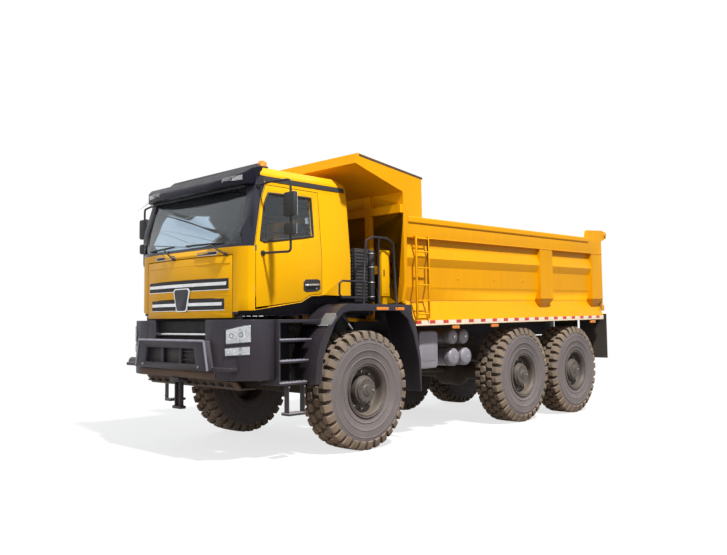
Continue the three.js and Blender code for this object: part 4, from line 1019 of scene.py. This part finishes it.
# ------------------------------------------------------------ visor, marker lamps and beacon
# A moulded gloss black sun visor across the roof's front with clear marker lamps in its
# lower face, and an amber beacon on the roof's left.
visor_black = finish("visor_black", (0.0085, 0.0080, 0.0145), 0.30, shade=0.7, dust=0.06, reach=1.3,
                     bump=0.0002, gloss=0.16, tint=(0.7, 0.75, 1, 1))
visor = softened("roof_visor", offset=0.012, angle=20.0, segments=3)
visor_face = finder("roof_visor")
lamps = bmesh.new()
for sign in (1, -1):
    for x0, x1 in ((0.70, 0.86), (0.88, 1.03)):
        for bm, slot, lift, grow in ((visor, 1, 0.001, 0.008), (lamps, 0, 0.006, 0.0)):
            left, right, foot, top = x0 - grow, x1 + grow, 3.262 - grow, 3.302 + grow
            corners = [(left, foot), (right, foot), (right, top), (left, top)]
            hits = [from_front(visor_face, sign * x, z) for x, z in corners]
            front = [bm.verts.new(hit + Vector((0, -lift, 0))) for hit in hits]
            back = [bm.verts.new(point.co + Vector((0, 0.012, 0))) for point in front]
            hull(bm, back, front, slot)
# Painted shade: a matt black strip along the visor's lower front stands in for the deep shade beneath it.
plate(visor, (-1.00, 1.00), (-1.600, -1.545), (3.182, 3.206), 2, 0.006)
for sign in (1, -1):
    for x in (0.30, 0.72):
        plate(visor, (x, x + 0.03), (-1.62, -1.50), (3.19, 3.215), 2, 0.005, sign)
shape(visor, "moulded_visor", [visor_black, bright_steel, matt_black], "black_plastic", "roof_visor",
      smooth=35.0)
shape(lamps, "marker_lamps", [clear_lens], "lamp_glass")
beacon = bmesh.new()
dome = [(0.0, 0.0), (0.0, 0.070), (0.018, 0.072), (0.020, 0.058), (0.075, 0.052), (0.090, 0.040),
        (0.096, 0.0)]
turned(beacon, dome[::-1], 28)
for face in beacon.faces:
    face.material_index = 0 if face.calc_center_median().x < 0.020 else 1
bmesh.ops.rotate(beacon, verts=beacon.verts, cent=(0, 0, 0), matrix=Matrix.Rotation(-math.pi / 2, 3, "Y"))
bmesh.ops.translate(beacon, verts=beacon.verts, vec=(0.945, row_y(-1.29), 3.440))
shape(beacon, "roof_beacon", [matt_black, amber], "amber_lens")


# ------------------------------------------------------------ grille flap
# The service flap below the windscreen: a pressed yellow panel with two slotted air
# intakes, satin bars across them and a blank plate in the middle.
flap = softened("grille_flap", offset=0.004, angle=20.0)
for face in flap.faces:
    spot = face.calc_center_median()
    if 1.76 < spot.z < 2.12 and spot.y > row_y(-1.750) and abs(spot.x) < 0.85 and face.normal.y < -0.5:
        face.material_index = 1


def bowed(bm, half, low_z, high_z, out, back, slot, offset=0.004):
    """A bar across the flap that follows its bowed face."""
    end = (half, row_y(-1.715 - 0.1 * (0.930 - half)))
    right = [end, (0.600, row_y(-1.748)), (0.300, row_y(-1.772))]
    line = [(-x, y) for x, y in right] + right[::-1]
    outline = [(x, y - out) for x, y in line] + [(x, y + back) for x, y in reversed(line)]
    slab(bm, outline, "Z", low_z, high_z, slot, offset)


for z0, z1, half in ((1.998, 2.122, 0.875), (1.762, 1.888, 0.800)):
    bowed(flap, half, z0, z1, 0.004, 0.020, 1, 0.003)
    for i in range(6):
        z = z0 + (z1 - z0) * (i + 0.5) / 6
        bowed(flap, half - 0.010, z - 0.003, z + 0.003, 0.007, 0.0, 1, 0.0)
    middle = (z0 + z1) / 2
    bowed(flap, half - 0.030, middle - 0.020, middle + 0.022, 0.018, -0.002, 2, 0.006)
    bowed(flap, half + 0.010, z0 - 0.012, z0 - 0.003, 0.008, 0.006, 2, 0.002)
for low_z, high_z, out in ((2.294, 2.302, 0.004), (1.926, 1.932, 0.003), (1.700, 1.706, 0.003)):
    bowed(flap, 0.905, low_z, high_z, out, 0.006, 0, 0.002)
shield = [(-0.150, 2.027), (0.150, 2.027), (0.182, 1.995), (0.120, 1.760), (0.090, 1.738), (-0.090, 1.738),
          (-0.120, 1.760), (-0.182, 1.995)]
slab(flap, shield, "Y", row_y(-1.799), row_y(-1.768), 2, 0.005)
face_plate = [(x * 0.86, 1.884 + (z - 1.884) * 0.90) for x, z in shield]
slab(flap, face_plate, "Y", row_y(-1.803), row_y(-1.792), 3, 0.003)
shape(flap, "service_flap", [yellow, matt_black, chrome, gloss_black], "yellow_paint", "grille_flap",
      smooth=30.0)


# ------------------------------------------------------------ mirrors
# Tubular black arms that carry a main and a wide-angle mirror head on each side, with
# rounded plastic backs and silvered glass facing the rear.
mirror_silver = finish("mirror_silver", (0.82, 0.84, 0.86), 0.04, metallic=1.0, shade=0.96, dust=0.15,
                       bump=0.00005)
arm_line = [(1.142, -1.480, 3.190), (1.30, -1.468, 3.215), (1.600, -1.400, 3.212), (1.600, -1.400, 2.395),
            (1.48, -1.420, 2.400), (1.207, -1.480, 2.400)]
for side, sign in (("left", 1), ("right", -1)):
    arms = bmesh.new()
    tube(arms, sided(sign, arm_line), 0.014, 12, 0, bend=0.05)
    for x, z in ((1.130, 3.190), (1.196, 2.400)):
        knob(arms, (sign * x, row_y(-1.480), z), 0.034, 0.020, 16, 0, outward(sign), 0.85)
    for z0, z1, x0, x1 in ((2.790, 3.070, 1.502, 1.698), (2.580, 2.720, 1.512, 1.688)):
        plate(arms, (x0, x1), (-1.438, -1.372), (z0, z1), 0, 0.026, sign)
        plate(arms, (x0 + 0.014, x1 - 0.014), (-1.376, -1.369), (z0 + 0.014, z1 - 0.014), 1, 0.003, sign)
    shape(arms, f"mirror_heads_{side}", [matt_black, mirror_silver], "black_plastic", f"mirror_{side}")


# ------------------------------------------------------------ cab interior
# What shows through the glass: a moulded dashboard, a steering wheel with a padded rim,
# and two sprung seats with sewn cloth cushions.
dash = softened("dashboard", offset=0.012, angle=20.0)
plate(dash, (0.30, 0.82), (-1.33, -1.22), (2.43, 2.50), 0, 0.02)
plate(dash, (0.34, 0.78), (-1.245, -1.225), (2.36, 2.455), 1, 0.006)
for x in (0.44, 0.68):
    knob(dash, (x, row_y(-1.226), 2.408), 0.040, 0.006, 24, 2, "Y")
plate(dash, (-0.13, 0.13), (-1.25, -1.222), (2.25, 2.40), 1, 0.006)
for x in (-0.80, -0.62, 0.16, 0.94):
    plate(dash, (x - 0.05, x + 0.05), (-1.262, -1.235), (2.32, 2.38), 2, 0.005)
shape(dash, "moulded_dashboard", [soft_plastic, gloss_black, matt_black], "black_plastic", "dashboard",
      smooth=35.0)

wheel = bmesh.new()
tube(wheel, [(u, v, 0.0) for u, v in circle(0.223, 40)], 0.0165, 12, 0, closed=True)
for turn in (0, math.pi, math.pi * 1.5):
    tube(wheel, [(0.03 * math.cos(turn), 0.03 * math.sin(turn), -0.006),
                 (0.218 * math.cos(turn), 0.218 * math.sin(turn), 0.0)], 0.014, 8, 0, flat=0.6)
knob(wheel, (0, 0, -0.020), 0.060, 0.034, 28, 0, "Z", 0.8)
tube(wheel, [(0, 0, -0.158), (0, 0, -0.015)], 0.034, 20, 0)
bmesh.ops.rotate(wheel, verts=wheel.verts, cent=(0, 0, 0), matrix=Matrix.Rotation(math.radians(-35), 3, "X"))
bmesh.ops.translate(wheel, verts=wheel.verts, vec=(0.560, row_y(-1.120), 2.560))
shape(wheel, "padded_steering_wheel", [soft_plastic], "black_plastic", "steering_wheel")

seat_cloth, tree = blank_material("woven_seat_cloth")
spot = shader(tree, "TexCoord").outputs["Object"]
warp = shader(tree, "TexWave", {"Vector": spot, "Scale": 160.0, "Distortion": 0.6}, bands_direction="X")
weft = shader(tree, "TexWave", {"Vector": spot, "Scale": 160.0, "Distortion": 0.6}, bands_direction="Y")
weave = product(tree, warp.outputs["Fac"], weft.outputs["Fac"])
fade = noise(tree, spot, 5.0, 5.0)
cloth_tone = mixed(tree, fade, (0.030, 0.031, 0.036, 1), (0.058, 0.059, 0.066, 1))
cloth_thread = mixed(tree, weave, cloth_tone, (0.085, 0.086, 0.095, 1))
cloth_bump = shader(tree, "Bump", {"Height": weave, "Distance": 0.001, "Strength": 1.0})
cloth_face = shader(tree, "BsdfPrincipled", {
    "Base Color": cloth_thread, "Roughness": 0.92, "Sheen Weight": 0.4, "Normal": cloth_bump.outputs[0]})
shader(tree, "OutputMaterial", {"Surface": cloth_face.outputs[0]})


def cushion(name, low, high, grooves, lean=0.0):
    """A stuffed cushion whose sides pull in between its corners, with sewn channels along it."""
    bm = bmesh.new()
    bmesh.ops.create_cube(bm, size=2.0)
    bmesh.ops.subdivide_edges(bm, edges=bm.edges[:], cuts=15, use_grid_fill=True)
    middle, half = (Vector(low) + Vector(high)) / 2, (Vector(high) - Vector(low)) / 2
    for corner in bm.verts:
        x, y, z = corner.co
        size = (abs(x) ** 7 + abs(y) ** 7 + abs(z) ** 7) ** (1 / 7)
        x, y, z = x / size, y / size, z / size
        across = min(abs(x), abs(y))
        pull = 1 - 0.045 * (1 - abs(z)) * max(0.0, 1 - across ** 2)
        swell = 0.018 * max(0.0, 1 - x ** 4) * max(0.0, 1 - y ** 4) if z > 0 else 0.0
        sewn = 0.0
        if z > 0:
            sewn = sum(0.012 * math.exp(-((y * half.y - groove) / 0.010) ** 2) for groove in grooves)
            sewn += 0.010 * math.exp(-((abs(x) - 0.68) * half.x / 0.010) ** 2)
        corner.co = Vector((x * half.x * pull, y * half.y * pull, z * half.z + swell - sewn))
    bmesh.ops.rotate(bm, verts=bm.verts, cent=(0, 0, 0), matrix=Matrix.Rotation(lean, 3, "X"))
    bmesh.ops.translate(bm, verts=bm.verts, vec=middle)
    bmesh.ops.recalc_face_normals(bm, faces=bm.faces)
    piece = shape(bm, name, [seat_cloth], "seat_cloth", smooth=60.0)


bases = bmesh.new()
plate(bases, (-0.70, 0.70), (-0.86, -0.56), (1.762, 1.792), 0, 0.005)
back_frame = [(-0.50, 2.16), (-0.455, 2.16), (-0.345, 2.88), (-0.380, 2.88)]
for x in (0.56, -0.56):
    for heights in ((1.79, 1.84), (2.06, 2.12)):
        plate(bases, (x - 0.19, x + 0.19), (-0.90, -0.52), heights, 0, 0.008)
    for i in range(9):
        z, reach = 1.845 + 0.024 * i, 0.172 - 0.006 * (i % 2)
        plate(bases, (x - reach, x + reach), (-0.88, -0.54), (z, z + 0.024), 1, 0.009)
    plate(bases, (x - 0.235, x + 0.235), (-0.99, -0.49), (2.120, 2.165), 0, 0.015)
    side_slab(bases, 1, (x - 0.21, x + 0.21), back_frame, 0, 0.012)
    for arm in (x - 0.262, x + 0.262):
        plate(bases, (arm - 0.022, arm + 0.022), (-0.86, -0.50), (2.385, 2.425), 0, 0.016)
shape(bases, "sprung_seat_frames", [soft_plastic, seal_rubber], "black_plastic", "seats")
for side, x in (("left", 0.56), ("right", -0.56)):
    cushion(f"seat_cushion_{side}", (x - 0.245, row_y(-1.00), 2.165), (x + 0.245, row_y(-0.49), 2.275),
            (-0.09, 0.04))
    cushion(f"back_cushion_{side}", (x - 0.235, row_y(-0.79), 2.500), (x + 0.235, row_y(-0.13), 2.600),
            (-0.16, 0.0, 0.16), lean=math.radians(99))


# ------------------------------------------------------------ air cleaner and cabinet
# Behind the cab: a ribbed black intake box with a vertical pipe, and a blank yellow
# cabinet door on a bracket at the left.
intake = softened("air_cleaner", offset=0.010)
for i in range(15):
    z = 1.905 + 0.043 * i
    plate(intake, (1.148, 1.160), (0.075, 0.285), (z, z + 0.020), 1, 0.003)
    plate(intake, (0.60, 1.11), (0.050, 0.062), (z, z + 0.020), 1, 0.003)
for z in (1.93, 2.12, 2.32, 2.50):               # clips round the intake pipe
    ring = [(1.165 + u, row_y(0.340) + v, z) for u, v in circle(0.053, 20)]
    tube(intake, ring, 0.006, 6, 2, closed=True)
shape(intake, "intake_box", [matt_black, soft_plastic, bright_steel], "black_plastic", "air_cleaner",
      smooth=35.0)
cabinet = softened("side_cabinet", offset=0.008)
plate(cabinet, (1.297, 1.304), (0.425, 0.547), (1.965, 2.515), 0, 0.004)
for z in (2.05, 2.43):
    plate(cabinet, (1.300, 1.309), (0.545, 0.562), (z, z + 0.05), 1, 0.003)
plate(cabinet, (1.302, 1.314), (0.435, 0.450), (2.20, 2.29), 1, 0.004)
shape(cabinet, "blank_cabinet", [yellow, matt_black], "yellow_paint", "side_cabinet", smooth=35.0)


# ------------------------------------------------------------ fuel and air tanks
# Pale grey tanks on brackets outside the rails: folded fuel tanks with strapped corners,
# and four spun air tanks with domed ends behind the left one.
tank_grey = finish("tank_grey", (0.235, 0.235, 0.290), 0.42, metallic=0.1, shade=0.76, dust=0.30, reach=2.0,
                   wear=0.15)
for side, sign, front, rear, straps in (("left", 1, 1.153, 1.558, (0.82, 1.18)),
                                        ("right", -1, 1.150, 2.400, (0.80, 1.20))):
    tank = softened(f"fuel_tank_{side}", offset=0.016, angle=30.0, segments=3)
    strap = [(front + 0.02, 0.972), (front - 0.004, 1.000), (front - 0.004, 1.420), (front + 0.04, 1.474),
             (rear - 0.04, 1.474), (rear + 0.004, 1.420), (rear + 0.004, 1.000), (rear - 0.04, 0.946),
             (front + 0.05, 0.946)]
    for x in straps:
        loop = sided(sign, [(x, y, z) for y, z in strap])
        tube(tank, loop, 0.020, 8, 1, bend=0.03, closed=True, flat=0.25)
    knob(tank, (sign * 1.10, row_y(front + 0.12), 1.466), 0.048, 0.035, 24, 1, "Z", 0.92)
    plate(tank, (1.296, 1.304), (front + 0.06, rear - 0.06), (1.05, 1.37), 0, 0.004, sign)
    shape(tank, f"folded_tank_{side}", [tank_grey, frame_grey], "tank_grey", f"fuel_tank_{side}",
          smooth=35.0)

bottles = bmesh.new()
plate(bottles, (0.700, 0.722), (1.840, 2.400), (0.940, 1.480), 1)
plate(bottles, (0.4705, 0.710), (2.050, 2.150), (1.120, 1.240), 1)
domed = [(0.716, 0.0), (0.716, 0.7), (0.730, 0.93), (0.750, 1.0), (1.250, 1.0), (1.258, 0.985), (1.272, 0.90),
         (1.284, 0.66), (1.290, 0.34), (1.292, 0.0)]
for behind, height, radius in ((1.949, 1.378, 0.110), (2.213, 1.378, 0.110), (1.968, 1.082, 0.128),
                               (2.262, 1.082, 0.128)):
    turned(bottles, [(x, radius * share) for x, share in domed[::-1]], 40, (0, row_y(behind), height), 0)
    for x in (0.80, 1.17):
        ring = [(x, row_y(behind) + u, height + v) for u, v in circle(radius * 1.01, 32)]
        tube(bottles, ring, 0.012, 6, 1, closed=True, flat=0.35)
    knob(bottles, (1.288, row_y(behind), height), 0.020, 0.008, 6, 2)
shape(bottles, "spun_air_tanks", [tank_grey, frame_grey, bright_steel], "tank_grey", "air_tanks")


# ------------------------------------------------------------ tipping bed
# A welded steel tub in a deeper yellow enamel, scuffed inside, with a canopy over the cab,
# folded side posts, outer and inner rubber mudflaps, a reflective band and a ladder.
scuffed = finish("scuffed_yellow", (0.60, 0.29, 0.02), 0.52, shade=0.62, dust=0.8, reach=30.0, wear=1.0,
                 bare=(0.13, 0.09, 0.06, 1), scale=60.0, bump=0.002, tint=(1, 0.6, 0.2, 1))
bed_yellow = finish("bed_yellow", (0.70, 0.312, 0.002), 0.42, shade=0.93, dust=0.05, reach=1.3, wear=0.08,
                    bump=0.0003, gloss=0.25, tint=(1, 0.5, 0.08, 1))
flap_rubber = finish("flap_rubber", (0.012, 0.011, 0.011), 0.70, shade=0.8, dust=0.22, reach=2.4)
band_red = finish("band_red", (0.52, 0.018, 0.012), 0.35, shade=0.85, dust=0.3, reach=2.2)
band_cream = finish("band_cream", (0.78, 0.70, 0.55), 0.38, shade=0.88, dust=0.35, reach=2.2)
edge_brown = finish("edge_brown", (0.060, 0.036, 0.022), 0.60, shade=0.7, dust=0.3)

tub = softened("dump_body", offset=0.003, angle=14.0)
for face in tub.faces:
    spot = face.calc_center_median()
    behind = spot.y - AXLE
    inside = abs(spot.x) < 1.374 and 1.70 < spot.z < 3.10 and 0.735 < behind < 6.20
    inward = face.normal.z > 0.2 or face.normal.x * spot.x < -0.05 or face.normal.y > 0.5
    if behind > 6.315 and spot.z < 1.66:
        face.material_index = 2
    # Painted shade: faces under the bed's floor and low at its front end take the dark charcoal enamel in
    # place of the shade there.
    elif (spot.z < 1.74 and abs(spot.x) < 1.31) or (spot.z < 1.84 and behind < 0.80):
        face.material_index = 5
    elif inside and inward:
        face.material_index = 1

BED_FRONT, BED_SLOPE = 0.848, math.tan(math.radians(0.8))
SIDE_X = 1.470                                   # the bed's side, from the truck's middle
BAND_PITCH = 0.2955                              # one red and one cream piece of the band


def bed_z(behind, z):
    """A height on the bed, which rises a little to the rear about its front."""
    return z + (behind - BED_FRONT) * BED_SLOPE


def bed_slab(bm, sign, x_span, outline, slot, offset):
    """A slab on one side of the bed, whose outline follows the bed's slope."""
    side_slab(bm, sign, x_span, [(behind, bed_z(behind, z)) for behind, z in outline], slot, offset)


def strip(start, end, low_z, high_z):
    """The outline of a straight strip along the bed."""
    return [(start, low_z), (end, low_z), (end, high_z), (start, high_z)]


for sign in (1, -1):
    weld = [(SIDE_X, behind, bed_z(behind, 2.735)) for behind in (0.88, 6.17)]
    tube(tub, sided(sign, weld), 0.007, 6, 0)
    bed_slab(tub, sign, (1.440, 1.488), strip(0.74, 5.66, 2.928, 3.012), 0, 0.014)
    pin_y, pin_z = row_y(6.29), bed_z(6.29, 3.10)
    knob(tub, (sign * 1.468, pin_y, pin_z), 0.042, 0.022, 24, 0, outward(sign), 0.9)
    knob(tub, (sign * 1.486, pin_y, pin_z), 0.020, 0.012, 6, 3, outward(sign))
    cheek_top = [(-0.172, 3.726), (1.050, 3.563), (1.050, 3.535), (-0.180, 3.698)]
    bed_slab(tub, sign, (1.466, 1.474), cheek_top, 4, 0.002)
    plate(tub, (0.500, 0.985), (6.100, 6.112), (1.300, 1.640), 2, 0.002, sign)
    plate(tub, (0.500, 0.985), (6.094, 6.118), (1.590, 1.636), 5, 0.003, sign)
    for height in (1.38, 1.56):
        for x in (1.02, 1.17, 1.32):
            knob(tub, (sign * x, row_y(6.349), bed_z(6.349, height)), 0.016, 0.008, 6, 3, "Y")
    for behind in (1.0, 1.9, 2.8, 3.6):
        knob(tub, (sign * 1.409, row_y(behind), bed_z(behind, 2.20)), 0.018, 0.012, 8, 0, outward(sign), 0.7)
shape(tub, "welded_tub", [bed_yellow, scuffed, flap_rubber, bright_steel, edge_brown, charcoal],
      "yellow_paint", "dump_body", smooth=16.0)

band = bmesh.new()
for sign in (1, -1):
    for i in range(18):
        start = 0.880 + BAND_PITCH * i
        for first, last, slot in ((start, start + 0.115, 1), (start + 0.117, start + BAND_PITCH - 0.002, 0)):
            last = min(last, 6.175)
            for low_z, high_z, paint in ((1.546, 1.566, 0), (1.5665, 1.612, slot)):
                outline = strip(first, last, low_z, high_z)
                bed_slab(band, sign, (SIDE_X - 0.0005, SIDE_X + 0.0035), outline, paint, 0.0)
shape(band, "reflective_band", [band_cream, band_red], "reflective_tape", body=body_of["dump_body"],
      smooth=30.0)

side_lamps = bmesh.new()
for sign in (1, -1):
    x_low, x_high = sorted((sign * 1.436, sign * 1.462))
    for start, end in ((1.695, 1.857), (2.646, 2.830), (5.710, 5.895)):
        block(side_lamps, (x_low, row_y(start), bed_z(start, 1.485)), (x_high, row_y(end), bed_z(end, 1.535)),
              0, 0.008)
        block(side_lamps, (x_low, row_y(start - 0.012), bed_z(start, 1.535)),
              (x_high - 0.004, row_y(end + 0.012), bed_z(end, 1.549)), 1, 0.003)
shape(side_lamps, "skirt_lamps", [amber, matt_black], "amber_lens", body=body_of["dump_body"])
tail_lamps = bmesh.new()
for sign in (1, -1):
    heights = (bed_z(6.16, 1.585), bed_z(6.16, 1.665))
    for x_span, slot in (((1.16, 1.30), 0), ((1.31, 1.41), 1)):
        plate(tail_lamps, x_span, (6.158, 6.180), heights, slot, 0.008, sign)
shape(tail_lamps, "tail_lamps", [red_lens, amber], "red_lens", body=body_of["dump_body"])

rungs = softened("bed_ladder", offset=0.003)
for behind, weld_y in ((0.880, row_y(0.893)), (1.133, row_y(1.120))):
    for z in (1.700, 1.880, 2.090, 2.320, 2.540, 2.720):
        ring = [(1.502 + u, weld_y, bed_z(behind, z) + v) for u, v in circle(0.0125, 12)]
        tube(rungs, ring, 0.003, 6, 0, closed=True)
shape(rungs, "welded_ladder", [bed_yellow], "yellow_paint", "bed_ladder")

gate = softened("tailgate", offset=0.006, angle=24.0)
for face in gate.faces:
    spot = face.calc_center_median()
    if face.normal.y < -0.5 and spot.y - AXLE < 6.215:
        face.material_index = 1
for x in (-1.0, -0.33, 0.33, 1.0):
    for z in (1.86, 2.76):
        heights = (bed_z(6.24, z), bed_z(6.24, z + 0.030))
        plate(gate, (x - 0.24, x + 0.24), (6.238, 6.244), heights, 0, 0.002)
for sign in (1, -1):
    knob(gate, (sign * 1.383, row_y(6.21), bed_z(6.21, 3.100)), 0.040, 0.006, 24, 0, outward(sign))
shape(gate, "ribbed_tailgate", [bed_yellow, scuffed], "yellow_paint", "tailgate", smooth=30.0)


# ------------------------------------------------------------ hoist
# A front-mounted telescopic hoist: a grey tube hung on trunnions in the bed and three
# hard chromed stages, the lowest with the eye that stands on the chassis.
oiled_chrome = finish("oiled_chrome", (0.70, 0.71, 0.73), 0.12, metallic=1.0, shade=0.82, dust=0.18,
                      reach=2.2, bump=0.0001)
shape(softened("hoist_tube", offset=0.0), "hoist_cylinder", [frame_grey], "frame_paint", "hoist_tube",
      smooth=42.0)
for i in (1, 2, 3):
    stage = f"hoist_stage_{i}"
    shape(softened(stage, offset=0.0), f"chromed_stage_{i}", [oiled_chrome], "hoist_chrome", stage,
          smooth=42.0)
